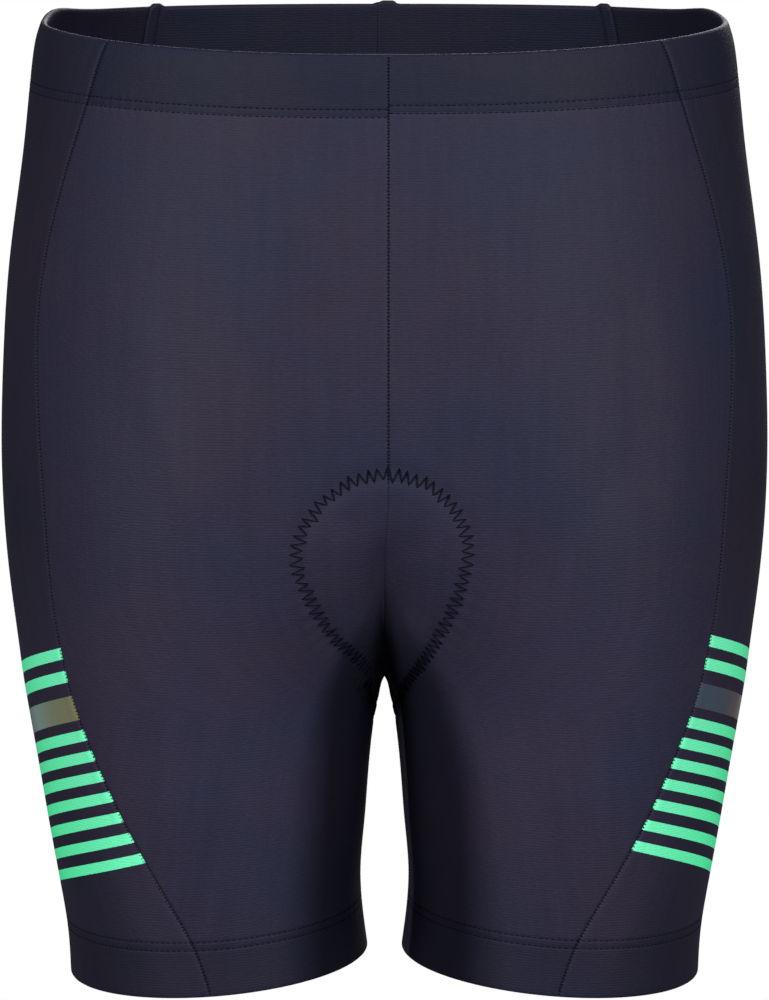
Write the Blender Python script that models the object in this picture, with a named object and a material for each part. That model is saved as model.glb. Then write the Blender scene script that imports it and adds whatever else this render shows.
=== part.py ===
# Cycling shorts of stretch knit, standing in the shape they take when worn, with nobody inside.
# Six panels are joined edge to edge. Their tops are turned in over an elastic at the waist, their
# lower ends are turned up round each leg, and a seat pad is sewn inside the crotch.
# Metres, +Z up, front towards -Y, the wearer's left towards +X. The origin is the middle of the
# waist, halfway down the elastic, where the wearer's waist holds the shorts.
import math

import bmesh
import bpy
import numpy as np

# Driving sizes
CLOTH = 0.0015
SEAM_GAP = 0.0003
PAD_GAP = 0.0005
CASING_PLY = 0.0013
HEM_PLY = 0.0010
WAIST_LEVEL = 0.0140
CASING_DEPTH = 0.0285
CROTCH_LEVEL = -0.2930
LEG_END_LEVEL = -0.4305
HEM_DEPTH = 0.0240

# The waist edge dips at the front and rises a little at the back, and each leg opening is
# square to its leg, so its outer side hangs lower than its inner side.
FRONT_DIP = -0.0084
BACK_RISE = 0.0009
DIP_FADES_AT = -0.060
HEM_TILT = 0.0055
TILT_STARTS_AT = -0.330

# Level sections of the outer face, one row for each height on the body.
# side_reach: half the width over both hips or legs. leg_centre: from the middle to a leg's middle.
# parting: 0 where the cloth lies straight across the middle, 1 where the legs meet at one point,
# and more than 1 where they stand apart. crease: how softly the cloth turns in at the middle.
# depth: from the side line to the front or the back of the leg.
STATION_COLUMNS = (
    "height", "side_reach", "leg_centre", "front_parting", "back_parting",
    "front_crease", "back_crease", "front_depth", "back_depth",
)
STATIONS = (
    (0.0140, 0.1585, 0.0120, 0.000, 0.000, 0.0080, 0.0080, 0.1075, 0.1120),
    (0.0080, 0.1606, 0.0130, 0.000, 0.000, 0.0080, 0.0080, 0.1085, 0.1130),
    (-0.0050, 0.1630, 0.0150, 0.000, 0.000, 0.0090, 0.0090, 0.1095, 0.1145),
    (-0.0450, 0.1674, 0.0220, 0.000, 0.000, 0.0120, 0.0120, 0.1115, 0.1180),
    (-0.0950, 0.1742, 0.0360, 0.000, 0.000, 0.0180, 0.0180, 0.1135, 0.1240),
    (-0.1450, 0.1779, 0.0530, 0.040, 0.080, 0.0210, 0.0220, 0.1140, 0.1295),
    (-0.1850, 0.1790, 0.0660, 0.170, 0.200, 0.0160, 0.0220, 0.1130, 0.1310),
    (-0.2200, 0.1779, 0.0760, 0.380, 0.360, 0.0090, 0.0180, 0.1105, 0.1285),
    (-0.2500, 0.1752, 0.0830, 0.660, 0.600, 0.0045, 0.0110, 0.1065, 0.1215),
    (-0.2740, 0.1722, 0.0860, 0.880, 0.840, 0.0025, 0.0050, 0.1025, 0.1130),
    (-0.2930, 0.1698, 0.0870, 1.000, 1.000, 0.0020, 0.0020, 0.0990, 0.1050),
    (-0.3100, 0.1671, 0.0870, 1.036, 1.036, 0.0020, 0.0020, 0.0960, 0.0990),
    (-0.3350, 0.1629, 0.0860, 1.070, 1.070, 0.0020, 0.0020, 0.0925, 0.0940),
    (-0.3650, 0.1578, 0.0840, 1.103, 1.103, 0.0020, 0.0020, 0.0880, 0.0885),
    (-0.3930, 0.1526, 0.0815, 1.136, 1.136, 0.0020, 0.0020, 0.0840, 0.0840),
    (-0.4100, 0.1500, 0.0800, 1.125, 1.125, 0.0020, 0.0020, 0.0815, 0.0815),
    (-0.4305, 0.1488, 0.0786, 1.088, 1.088, 0.0020, 0.0020, 0.0792, 0.0792),
)

# Where the side panel's two seams run, in degrees round the leg from its front,
# with 90 at the outer side and 180 at the back.
SEAM_COLUMNS = ("height", "front_seam", "back_seam")
SEAMS = (
    (0.0140, 50.2, 139.0),
    (-0.0120, 52.5, 136.5),
    (-0.0450, 56.4, 132.5),
    (-0.0900, 59.8, 128.0),
    (-0.1250, 59.6, 125.5),
    (-0.1600, 56.5, 125.0),
    (-0.2000, 52.0, 127.0),
    (-0.2500, 48.0, 131.5),
    (-0.2850, 43.8, 136.0),
    (-0.3150, 37.0, 140.5),
    (-0.3500, 26.5, 146.0),
    (-0.3800, 15.5, 150.5),
    (-0.4050, 6.5, 154.0),
    (-0.4305, 1.0, 157.0),
)

# The pad: distance along the crotch seam from its lowest point, negative to the front,
# half the pad's width there, and its thickness along the middle.
PAD_COLUMNS = ("along", "half_width", "thickness")
PAD = (
    (-0.170, 0.0400, 0.0030),
    (-0.130, 0.0400, 0.0050),
    (-0.105, 0.0335, 0.0060),
    (-0.080, 0.0250, 0.0065),
    (-0.050, 0.0180, 0.0070),
    (0.000, 0.0200, 0.0075),
    (0.050, 0.0380, 0.0080),
    (0.100, 0.0620, 0.0080),
    (0.140, 0.0700, 0.0070),
    (0.185, 0.0700, 0.0035),
)
PAD_FRONT_ROUND = 0.045
PAD_BACK_ROUND = 0.070
PAD_EDGE_PLY = 0.0014
PAD_TIP_TURN = math.radians(7)

# How finely the cloth is divided, and how closely the curves are followed to place its points
FRONT_COLUMNS = 11
SIDE_COLUMNS = 8
BACK_COLUMNS = 11
CASING_ROWS = 4
BODY_ROWS = 14
LEG_ROWS = 7
HEM_ROWS = 2
PAD_COLUMNS_ACROSS = 8
PAD_ROWS = 26
SECTION_SAMPLES = 81
RISE_SAMPLES = 400
WALK_STEP = 0.0005
SLOPE_STEP = 0.00002

INSEAM_FRONT = math.radians(-90)


# Reading the tables

class Column:
    """One column of a table as a smooth curve through its rows (a natural cubic spline)."""

    def __init__(self, places, values):
        order = np.argsort(places)
        self.places = np.array(places, float)[order]
        self.values = np.array(values, float)[order]
        gap = np.diff(self.places)
        rise = np.diff(self.values) / gap
        count = len(self.places)
        matrix = np.zeros((count, count))
        right = np.zeros(count)
        matrix[0, :2] = 2, 1
        matrix[-1, -2:] = 1, 2
        right[0] = 3 * rise[0]
        right[-1] = 3 * rise[-1]
        for i in range(1, count - 1):
            matrix[i, i - 1:i + 2] = 1 / gap[i - 1], 2 / gap[i - 1] + 2 / gap[i], 1 / gap[i]
            right[i] = 3 * (rise[i - 1] / gap[i - 1] + rise[i] / gap[i])
        self.slopes = np.linalg.solve(matrix, right)

    def at(self, place):
        place = np.asarray(place, float)
        i = np.clip(np.searchsorted(self.places, place) - 1, 0, len(self.places) - 2)
        gap = self.places[i + 1] - self.places[i]
        t = (place - self.places[i]) / gap
        return (
            (1 + 2 * t) * (1 - t) ** 2 * self.values[i]
            + t * (1 - t) ** 2 * gap * self.slopes[i]
            + t * t * (3 - 2 * t) * self.values[i + 1]
            + t * t * (t - 1) * gap * self.slopes[i + 1]
        )


def read_table(columns, rows):
    places = [row[0] for row in rows]
    return {
        name: Column(places, [row[k] for row in rows])
        for k, name in enumerate(columns) if k
    }


body = read_table(STATION_COLUMNS, STATIONS)
seams = read_table(SEAM_COLUMNS, SEAMS)
pad = read_table(PAD_COLUMNS, PAD)


# The shape of the cloth's outer face

def face_values(height, at_front):
    """Crease, depth and parting at a height, on the front or the back."""
    crease = np.where(at_front, body["front_crease"].at(height), body["back_crease"].at(height))
    depth = np.where(at_front, body["front_depth"].at(height), body["back_depth"].at(height))
    parting = np.where(at_front, body["front_parting"].at(height), body["back_parting"].at(height))
    return crease, depth, parting


def section_point(turn, height):
    """A point of the +X half of a level section. A turn below 0 or past 180 degrees lies on the
    inner side of the leg, or where the legs are one tube, between the leg and the middle."""
    turn, height = np.broadcast_arrays(np.asarray(turn, float), np.asarray(height, float))
    sine = np.sin(turn)
    cosine = np.cos(turn)
    at_front = cosine >= 0
    crease, depth, parting = face_values(height, at_front)
    reach = body["side_reach"].at(height)
    centre = body["leg_centre"].at(height)
    inner = sine < 0
    closing = np.minimum(parting, 1)
    inner_reach = (centre - crease) / np.maximum(parting, 1)
    outer_reach = np.sqrt(reach ** 2 + crease ** 2) - centre
    across = centre + np.where(inner, inner_reach, outer_reach) * sine
    curve = np.where(inner, np.sqrt(np.maximum(1 - (closing * sine) ** 2, 0)), np.abs(cosine))
    x = np.sqrt(np.maximum(across ** 2 - crease ** 2, 0))
    y = depth * curve * np.where(at_front, -1, 1)
    return np.stack([x, y, height], -1)


def outside(point):
    """Zero on the outer face, more outside it and less inside it."""
    x, y, z = point[..., 0], point[..., 1], point[..., 2]
    crease, depth, parting = face_values(z, y < 0)
    reach = body["side_reach"].at(z)
    centre = body["leg_centre"].at(z)
    across = np.sqrt(x ** 2 + crease ** 2)
    outer_share = (across - centre) / (np.sqrt(reach ** 2 + crease ** 2) - centre)
    inner_share = (across - centre) * parting / (centre - crease)
    share = np.where(across >= centre, outer_share, inner_share)
    return np.sqrt(share ** 2 + (y / depth) ** 2) - 1


def ease(value):
    value = np.clip(value, 0, 1)
    return value * value * (3 - 2 * value)


def rise_and_dip(point):
    """How far a point moves up so that the waist dips and the leg openings tilt."""
    x, y, z = np.abs(point[..., 0]), point[..., 1], point[..., 2]
    depth = face_values(z, y < 0)[1]
    forward = np.clip(-y / depth, -1, 1)
    even = (FRONT_DIP + BACK_RISE) / 2
    odd = (FRONT_DIP - BACK_RISE) / 2
    near_waist = ease((z - DIP_FADES_AT) / (WAIST_LEVEL - DIP_FADES_AT))
    centre = body["leg_centre"].at(z)
    outward = (x - centre) / (body["side_reach"].at(z) - centre)
    near_hem = ease((TILT_STARTS_AT - z) / (TILT_STARTS_AT - LEG_END_LEVEL))
    return (even * forward ** 2 + odd * forward) * near_waist - HEM_TILT * outward * near_hem


def gradient(function, point):
    parts = []
    for axis in np.eye(3) * SLOPE_STEP:
        parts.append((function(point + axis) - function(point - axis)) / (2 * SLOPE_STEP))
    return np.stack(parts, -1)


def settle(point, inward):
    """Moves a section's point into the dipped and tilted form, and then in through the cloth."""
    normal = gradient(outside, point)
    lean = gradient(rise_and_dip, point)
    normal = normal - lean * normal[..., 2:3] / (1 + lean[..., 2:3])
    normal = normal / np.linalg.norm(normal, axis=-1, keepdims=True)
    moved = point.copy()
    moved[..., 2] += rise_and_dip(point)
    return moved - normal * np.asarray(inward, float)[..., None]


# Rows and columns of the panels

def rise_line(side, share):
    """The centre seam from the crotch, at share 0, to the waist. Side is -1 in front, 1 behind."""
    height = CROTCH_LEVEL + (WAIST_LEVEL - CROTCH_LEVEL) * share ** 2
    depth, parting = face_values(height, side < 0)[1:]
    y = side * depth * np.sqrt(np.maximum(1 - np.minimum(parting, 1) ** 2, 0))
    return np.stack([np.zeros_like(height), y, height], -1)


def lengths_along(points):
    steps = np.linalg.norm(np.diff(points, axis=0), axis=1)
    return np.concatenate([[0], np.cumsum(steps)])


def side_levels():
    """Heights of the rows at the side seams."""
    casing_end = WAIST_LEVEL - CASING_DEPTH
    hem_start = LEG_END_LEVEL + HEM_DEPTH
    return np.concatenate([
        np.linspace(WAIST_LEVEL, casing_end, CASING_ROWS + 1),
        np.linspace(casing_end, CROTCH_LEVEL, BODY_ROWS + 1)[1:],
        np.linspace(CROTCH_LEVEL, hem_start, LEG_ROWS + 1)[1:],
        np.linspace(hem_start, LEG_END_LEVEL, HEM_ROWS + 1)[1:],
    ])


def middle_levels(side):
    """Heights of the same rows at the centre seam and the inner leg seam: the rows of the body are
    spaced evenly along the centre seam, which runs level at the crotch."""
    levels = side_levels()
    line = rise_line(side, np.linspace(0, 1, RISE_SAMPLES))
    length = lengths_along(line)
    casing_end = np.interp(levels[CASING_ROWS], line[:, 2], length)
    even = np.linspace(casing_end, 0, BODY_ROWS + 1)
    levels[CASING_ROWS:CASING_ROWS + BODY_ROWS + 1] = np.interp(even, length, line[:, 2])
    return levels


def middle_turn(height, gap, side):
    """The turn at the centre seam or inner leg seam, half a seam gap short of it."""
    crease, depth, parting = face_values(height, side < 0)
    centre = body["leg_centre"].at(height)
    inner_reach = (centre - crease) / np.maximum(parting, 1)
    beside_middle = (np.sqrt(gap ** 2 + crease ** 2) - centre) / inner_reach
    from_middle = np.arcsin(np.clip(beside_middle, -1, 1))
    from_inseam = INSEAM_FRONT + gap / depth
    turn = np.where(parting < 1, from_middle, from_inseam)
    return turn if side < 0 else math.pi - turn


def seam_turn(name, height, gap):
    """The turn of a side seam, moved round the leg by half a seam gap."""
    turn = np.radians(seams[name].at(height))
    step = 0.001
    ahead = section_point(turn + step, height) - section_point(turn - step, height)
    return turn + gap * 2 * step / np.linalg.norm(ahead, axis=-1)


def spread(first, last, share, height):
    """Turns at even distances along the cloth between two turns of one section."""
    samples = np.linspace(0, 1, SECTION_SAMPLES)
    turns = first[..., None] + (last - first)[..., None] * samples
    points = section_point(turns, height[..., None])
    steps = np.linalg.norm(np.diff(points, axis=-2), axis=-1)
    length = np.concatenate([np.zeros(steps.shape[:-1] + (1,)), np.cumsum(steps, -1)], -1)
    flat_turns = turns.reshape(-1, SECTION_SAMPLES)
    flat_length = length.reshape(-1, SECTION_SAMPLES)
    wanted = share.reshape(-1) * flat_length[:, -1]
    picked = [np.interp(wanted[i], flat_length[i], flat_turns[i]) for i in range(len(wanted))]
    return np.array(picked).reshape(share.shape)


def panel_grid(kind, gap, rows=slice(None)):
    """Section points of one +X panel, a row for each level, from front to back."""
    columns = {"front": FRONT_COLUMNS, "side": SIDE_COLUMNS, "back": BACK_COLUMNS}[kind]
    share = np.linspace(0, 1, columns + 1)[None, :]
    side = side_levels()[rows, None]
    if kind == "front":
        middle = middle_levels(-1)[rows, None]
        height = middle + (side - middle) * share
        first = middle_turn(height, gap, -1)
        last = seam_turn("front_seam", height, -gap)
    elif kind == "side":
        height = side + 0 * share
        first = seam_turn("front_seam", height, gap)
        last = seam_turn("back_seam", height, -gap)
    else:
        middle = middle_levels(1)[rows, None]
        height = side + (middle - side) * share
        first = seam_turn("back_seam", height, gap)
        last = middle_turn(height, gap, 1)
    share = share + 0 * height
    return section_point(spread(first, last, share, height), height)


# Making the pieces

def add_cell(mesh, near, far, i, j, k):
    """The two triangles of a cell between rows i and i + 1 and columns j and k, on both grids. Every
    piece divides its cells the same way, so pieces that lie on each other keep an even gap."""
    mesh.faces.new((near[i][j], near[i + 1][j], near[i + 1][k]))
    mesh.faces.new((near[i][j], near[i + 1][k], near[i][k]))
    if far:
        mesh.faces.new((far[i][j], far[i + 1][k], far[i + 1][j]))
        mesh.faces.new((far[i][j], far[i][k], far[i + 1][k]))


def add_wall(mesh, outer, inner, ring=False):
    """Closes the space between two grids of points that have the same rows and columns."""
    rows, columns = outer.shape[:2]
    near = [[mesh.verts.new(point) for point in row] for row in outer]
    far = [[mesh.verts.new(point) for point in row] for row in inner]
    across = columns if ring else columns - 1
    for j in range(across):
        k = (j + 1) % columns
        for i in range(rows - 1):
            add_cell(mesh, near, far, i, j, k)
        mesh.faces.new((near[0][j], near[0][k], far[0][k], far[0][j]))
        mesh.faces.new((near[-1][j], far[-1][j], far[-1][k], near[-1][k]))
    if ring:
        return
    for i in range(rows - 1):
        mesh.faces.new((near[i][0], far[i][0], far[i + 1][0], near[i + 1][0]))
        mesh.faces.new((near[i][-1], near[i + 1][-1], far[i + 1][-1], far[i][-1]))


def finish_object(name, mesh, collection, material):
    bmesh.ops.recalc_face_normals(mesh, faces=mesh.faces)
    data = bpy.data.meshes.new(name)
    mesh.to_mesh(data)
    mesh.free()
    data.shade_smooth()
    data.set_sharp_from_angle(angle=math.radians(50))
    if material:
        data.materials.append(material)
    piece = bpy.data.objects.new(name, data)
    collection.objects.link(piece)
    return piece


def mirrored(points):
    return points * np.array([-1, 1, 1])


def make_panels(kind, collection, material):
    """One panel for each side of the body."""
    grid = panel_grid(kind, SEAM_GAP / 2)
    outer = settle(grid, 0)
    inner = settle(grid, CLOTH)
    for side in ("left", "right"):
        mesh = bmesh.new()
        if side == "left":
            add_wall(mesh, outer, inner)
        else:
            add_wall(mesh, mirrored(outer), mirrored(inner))
        finish_object(kind + "_" + side, mesh, collection, material)


def half_round(rows):
    """Section points from the centre front round the +X side to the centre back."""
    front = panel_grid("front", 0, rows)
    side = panel_grid("side", 0, rows)
    back = panel_grid("back", 0, rows)
    return np.concatenate([front, side[:, 1:], back[:, 1:]], axis=1)


def make_casing(collection, material):
    """The tops of the panels and the elastic, inside the waist."""
    half = half_round(slice(0, CASING_ROWS + 1))
    start = CLOTH + SEAM_GAP
    outer = settle(half, start)
    inner = settle(half, start + CASING_PLY)
    mesh = bmesh.new()
    rounds = []
    for grid in (outer, inner):
        rounds.append(np.concatenate([grid, mirrored(grid)[:, -2:0:-1]], axis=1))
    add_wall(mesh, rounds[0], rounds[1], ring=True)
    finish_object("waist_casing", mesh, collection, material)


def make_hems(collection, material):
    """The lower end of each leg, turned up inside."""
    half = half_round(slice(-HEM_ROWS - 1, None))[:, :-1]
    start = CLOTH + SEAM_GAP
    outer = settle(half, start)
    inner = settle(half, start + HEM_PLY)
    for side in ("left", "right"):
        mesh = bmesh.new()
        if side == "left":
            add_wall(mesh, outer, inner, ring=True)
        else:
            add_wall(mesh, mirrored(outer), mirrored(inner), ring=True)
        finish_object("leg_hem_" + side, mesh, collection, material)


def make_hollow(collection):
    """The space inside the shorts, up to the pad's gap off the cloth. It trims the pad."""
    half = settle(half_round(slice(None)), CLOTH + PAD_GAP)
    mesh = bmesh.new()
    for grid in (half, mirrored(half)):
        corners = [[mesh.verts.new(point) for point in row] for row in grid]
        for i in range(len(corners) - 1):
            for j in range(len(corners[0]) - 1):
                add_cell(mesh, corners, None, i, j, j + 1)
    bmesh.ops.remove_doubles(mesh, verts=mesh.verts, dist=0.00001)
    bmesh.ops.holes_fill(mesh, edges=mesh.edges, sides=0)
    bmesh.ops.triangulate(mesh, faces=mesh.faces)
    hollow = finish_object("hollow", mesh, collection, None)
    hollow.hide_render = True
    hollow.display_type = "WIRE"
    return hollow


def walk_across(start, reach):
    """Points at every step over the cloth, from the centre seam straight towards +X."""
    point = start.copy()
    heading = np.zeros_like(point)
    heading[:, 0] = 1
    walked = [point]
    for _ in range(int(round(reach / WALK_STEP))):
        ahead = point + heading * WALK_STEP
        for _ in range(3):
            slope = gradient(outside, ahead)
            ahead = ahead - slope * (outside(ahead) / (slope ** 2).sum(-1))[:, None]
        slope = gradient(outside, ahead)
        move = ahead - point
        move -= slope * (move * slope).sum(-1, keepdims=True) / (slope ** 2).sum(-1, keepdims=True)
        heading = move / np.linalg.norm(move, axis=-1, keepdims=True)
        point = ahead
        walked.append(point)
    return np.stack(walked, 1)


def make_pad(collection, material, hollow):
    """A soft pad that lies over the crotch seam like a saddle, thin at its edge."""
    share = np.linspace(0, 1, RISE_SAMPLES)
    line = np.concatenate([rise_line(-1, share)[::-1], rise_line(1, share)[1:]])
    along = lengths_along(line)
    along -= along[RISE_SAMPLES - 1]
    first, last = PAD[0][0], PAD[-1][0]
    turn = np.linspace(PAD_TIP_TURN, math.pi - PAD_TIP_TURN, PAD_ROWS + 1)
    rows = (first + last) / 2 - (last - first) / 2 * np.cos(turn)
    start = np.stack([np.interp(rows, along, line[:, k]) for k in range(3)], -1)
    widest = max(row[1] for row in PAD)
    walked = walk_across(start, widest)
    reached = np.arange(walked.shape[1]) * WALK_STEP
    front_round = 1 - np.clip((rows - first) / PAD_FRONT_ROUND, 0, 1)
    back_round = 1 - np.clip((last - rows) / PAD_BACK_ROUND, 0, 1)
    half_width = pad["half_width"].at(rows)
    half_width = half_width * np.sqrt(1 - front_round ** 2) * np.sqrt(1 - back_round ** 2)
    ends = 1 - np.maximum(front_round, back_round) ** 4
    share = np.linspace(-1, 1, PAD_COLUMNS_ACROSS + 1)
    lower = []
    upper = []
    for i in range(len(rows)):
        reach = np.abs(share) * half_width[i]
        points = np.stack([np.interp(reach, reached, walked[i, :, k]) for k in range(3)], -1)
        swell = (pad["thickness"].at(rows[i]) - PAD_EDGE_PLY) * ends[i] * (1 - share ** 4)
        side = np.stack([np.sign(share), np.ones_like(share), np.ones_like(share)], -1)
        lower.append(settle(points, np.full(len(share), SEAM_GAP)) * side)
        upper.append(settle(points, CLOTH + PAD_GAP + PAD_EDGE_PLY + swell) * side)
    lower = np.array(lower)
    upper = np.array(upper)
    middle = PAD_COLUMNS_ACROSS // 2
    lower[:, middle, 0] = 0
    upper[:, middle, 0] = 0
    mesh = bmesh.new()
    add_wall(mesh, lower, upper)
    piece = finish_object("seat_pad", mesh, collection, material)
    trim = piece.modifiers.new("trim", "BOOLEAN")
    trim.operation = "INTERSECT"
    trim.object = hollow


def make_material(name, colour, roughness, sheen):
    material = bpy.data.materials.new(name)
    material.use_nodes = True
    shader = material.node_tree.nodes["Principled BSDF"]
    shader.inputs["Base Color"].default_value = (*colour, 1)
    shader.inputs["Roughness"].default_value = roughness
    shader.inputs["Metallic"].default_value = 0
    shader.inputs["Sheen Weight"].default_value = sheen
    material.diffuse_color = (*colour, 1)
    return material


def main():
    for old in list(bpy.data.objects):
        bpy.data.objects.remove(old, do_unlink=True)
    shorts = bpy.data.collections.new("cycling_shorts")
    cutters = bpy.data.collections.new("cutters")
    for collection in (shorts, cutters):
        bpy.context.scene.collection.children.link(collection)
    make_panels("front", shorts, make_material("navy knit, front", (0.030, 0.028, 0.052), 0.60, 0.3))
    make_panels("side", shorts, make_material("navy knit, side", (0.020, 0.021, 0.036), 0.60, 0.3))
    make_panels("back", shorts, make_material("navy knit, back", (0.026, 0.025, 0.046), 0.60, 0.3))
    make_casing(shorts, make_material("navy knit, casing", (0.012, 0.011, 0.019), 0.75, 0.2))
    make_hems(shorts, make_material("navy knit, hem", (0.018, 0.019, 0.032), 0.65, 0.2))
    make_pad(shorts, make_material("pad fleece", (0.035, 0.036, 0.042), 0.90, 0.5), make_hollow(cutters))


main()
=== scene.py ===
import math

import bmesh
import bpy
import numpy as np
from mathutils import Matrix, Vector, kdtree


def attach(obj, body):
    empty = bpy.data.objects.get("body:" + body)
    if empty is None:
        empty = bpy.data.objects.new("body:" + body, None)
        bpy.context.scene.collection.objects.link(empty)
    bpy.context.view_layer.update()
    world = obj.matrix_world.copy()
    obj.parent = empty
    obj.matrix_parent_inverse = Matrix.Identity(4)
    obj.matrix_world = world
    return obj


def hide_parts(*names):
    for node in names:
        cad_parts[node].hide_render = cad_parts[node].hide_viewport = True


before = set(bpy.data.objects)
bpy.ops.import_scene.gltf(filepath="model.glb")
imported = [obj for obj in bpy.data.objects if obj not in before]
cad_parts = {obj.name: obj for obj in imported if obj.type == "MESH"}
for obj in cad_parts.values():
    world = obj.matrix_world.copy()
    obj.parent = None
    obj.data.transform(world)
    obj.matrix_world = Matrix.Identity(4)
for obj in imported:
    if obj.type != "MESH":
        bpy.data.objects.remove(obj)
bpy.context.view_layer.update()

# Cycling shorts in stretch knit. All lengths are metres unless a name ends in Mm.
# The cloth's form is worked out from the same sizes as the solids that it stands for.

wornForm = {
    "waistLevel": 0.0140,
    "crotchLevel": -0.2930,
    "legEndLevel": -0.4305,
    "frontDip": -0.0084,  # the waist edge sits lower in front
    "backRise": 0.0009,
    "dipFadesAt": -0.060,
    "hemTilt": 0.0055,  # the leg openings are square to the legs
    "tiltStartsAt": -0.330,
}

# One row for each height of the body, outer face of the cloth.
stationColumns = (
    "height", "sideReach", "legCentre", "frontParting", "backParting",
    "frontCrease", "backCrease", "frontDepth", "backDepth",
)
stations = (
    (0.0140, 0.1585, 0.0120, 0.000, 0.000, 0.0080, 0.0080, 0.1075, 0.1120),
    (0.0080, 0.1606, 0.0130, 0.000, 0.000, 0.0080, 0.0080, 0.1085, 0.1130),
    (-0.0050, 0.1630, 0.0150, 0.000, 0.000, 0.0090, 0.0090, 0.1095, 0.1145),
    (-0.0450, 0.1674, 0.0220, 0.000, 0.000, 0.0120, 0.0120, 0.1115, 0.1180),
    (-0.0950, 0.1742, 0.0360, 0.000, 0.000, 0.0180, 0.0180, 0.1135, 0.1240),
    (-0.1450, 0.1779, 0.0530, 0.040, 0.080, 0.0210, 0.0220, 0.1140, 0.1295),
    (-0.1850, 0.1790, 0.0660, 0.170, 0.200, 0.0160, 0.0220, 0.1130, 0.1310),
    (-0.2200, 0.1779, 0.0760, 0.380, 0.360, 0.0090, 0.0180, 0.1105, 0.1285),
    (-0.2500, 0.1752, 0.0830, 0.660, 0.600, 0.0045, 0.0110, 0.1065, 0.1215),
    (-0.2740, 0.1722, 0.0860, 0.880, 0.840, 0.0025, 0.0050, 0.1025, 0.1130),
    (-0.2930, 0.1698, 0.0870, 1.000, 1.000, 0.0020, 0.0020, 0.0990, 0.1050),
    (-0.3100, 0.1671, 0.0870, 1.036, 1.036, 0.0020, 0.0020, 0.0960, 0.0990),
    (-0.3350, 0.1629, 0.0860, 1.070, 1.070, 0.0020, 0.0020, 0.0925, 0.0940),
    (-0.3650, 0.1578, 0.0840, 1.103, 1.103, 0.0020, 0.0020, 0.0880, 0.0885),
    (-0.3930, 0.1526, 0.0815, 1.136, 1.136, 0.0020, 0.0020, 0.0840, 0.0840),
    (-0.4100, 0.1500, 0.0800, 1.125, 1.125, 0.0020, 0.0020, 0.0815, 0.0815),
    (-0.4305, 0.1488, 0.0786, 1.088, 1.088, 0.0020, 0.0020, 0.0792, 0.0792),
)

# Degrees round the leg from its front to the side panel's two seams.
seamColumns = ("height", "frontSeam", "backSeam")
seamRows = (
    (0.0140, 50.2, 137.3),
    (-0.0120, 52.5, 136.9),
    (-0.0450, 56.4, 133.2),
    (-0.0900, 59.8, 128.2),
    (-0.1250, 59.6, 125.5),
    (-0.1600, 56.5, 125.0),
    (-0.2000, 52.0, 127.0),
    (-0.2500, 48.0, 131.5),
    (-0.2850, 43.8, 136.0),
    (-0.3150, 37.0, 140.5),
    (-0.3500, 26.5, 146.0),
    (-0.3800, 15.5, 150.5),
    (-0.4050, 6.5, 154.0),
    (-0.4305, 1.0, 157.0),
)

# The pad's sewn outline: distance along the crotch seam, negative to the front, and half width.
padColumns = ("along", "halfWidth", "thickness")
padRows = (
    (-0.170, 0.0400, 0.0030),
    (-0.130, 0.0400, 0.0050),
    (-0.105, 0.0335, 0.0060),
    (-0.080, 0.0250, 0.0065),
    (-0.050, 0.0180, 0.0070),
    (0.000, 0.0200, 0.0075),
    (0.050, 0.0380, 0.0080),
    (0.100, 0.0620, 0.0080),
    (0.140, 0.0700, 0.0070),
    (0.185, 0.0700, 0.0035),
)


def splineSlopes(places, values):  # slopes of a natural cubic spline at its rows
    gap = np.diff(places)
    rise = np.diff(values) / gap
    count = len(places)
    matrix = np.zeros((count, count))
    right = np.zeros(count)
    matrix[0, :2] = 2, 1
    matrix[-1, -2:] = 1, 2
    right[0] = 3 * rise[0]
    right[-1] = 3 * rise[-1]
    for i in range(1, count - 1):
        matrix[i, i - 1:i + 2] = 1 / gap[i - 1], 2 / gap[i - 1] + 2 / gap[i], 1 / gap[i]
        right[i] = 3 * (rise[i - 1] / gap[i - 1] + rise[i] / gap[i])
    return np.linalg.solve(matrix, right)


def readTable(columns, rows):
    table = {}
    data = np.array(sorted(rows))
    for k, name in enumerate(columns[1:], 1):
        table[name] = (data[:, 0], data[:, k], splineSlopes(data[:, 0], data[:, k]))
    return table


def smoothRead(column, place):
    places, values, slopes = column
    place = np.asarray(place, float)
    i = np.clip(np.searchsorted(places, place) - 1, 0, len(places) - 2)
    gap = places[i + 1] - places[i]
    t = (place - places[i]) / gap
    return (
        (1 + 2 * t) * (1 - t) ** 2 * values[i]
        + t * (1 - t) ** 2 * gap * slopes[i]
        + t * t * (3 - 2 * t) * values[i + 1]
        + t * t * (t - 1) * gap * slopes[i + 1]
    )


bodyTable = readTable(stationColumns, stations)
seamTable = readTable(seamColumns, seamRows)
padTable = readTable(padColumns, padRows)


def faceValues(height, atFront):
    read = []
    for part in ("Crease", "Depth", "Parting"):
        front = smoothRead(bodyTable["front" + part], height)
        back = smoothRead(bodyTable["back" + part], height)
        read.append(np.where(atFront, front, back))
    return read


def sectionPoint(turn, height):  # a point of the +X half of a level section
    turn, height = np.broadcast_arrays(np.asarray(turn, float), np.asarray(height, float))
    sine = np.sin(turn)
    cosine = np.cos(turn)
    crease, depth, parting = faceValues(height, cosine >= 0)
    reach = smoothRead(bodyTable["sideReach"], height)
    centre = smoothRead(bodyTable["legCentre"], height)
    inner = sine < 0
    closing = np.minimum(parting, 1)
    innerReach = (centre - crease) / np.maximum(parting, 1)
    outerReach = np.sqrt(reach ** 2 + crease ** 2) - centre
    across = centre + np.where(inner, innerReach, outerReach) * sine
    curve = np.where(inner, np.sqrt(np.maximum(1 - (closing * sine) ** 2, 0)), np.abs(cosine))
    x = np.sqrt(np.maximum(across ** 2 - crease ** 2, 0))
    y = depth * curve * np.where(cosine >= 0, -1, 1)
    return np.stack([x, y, height], -1)


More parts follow.
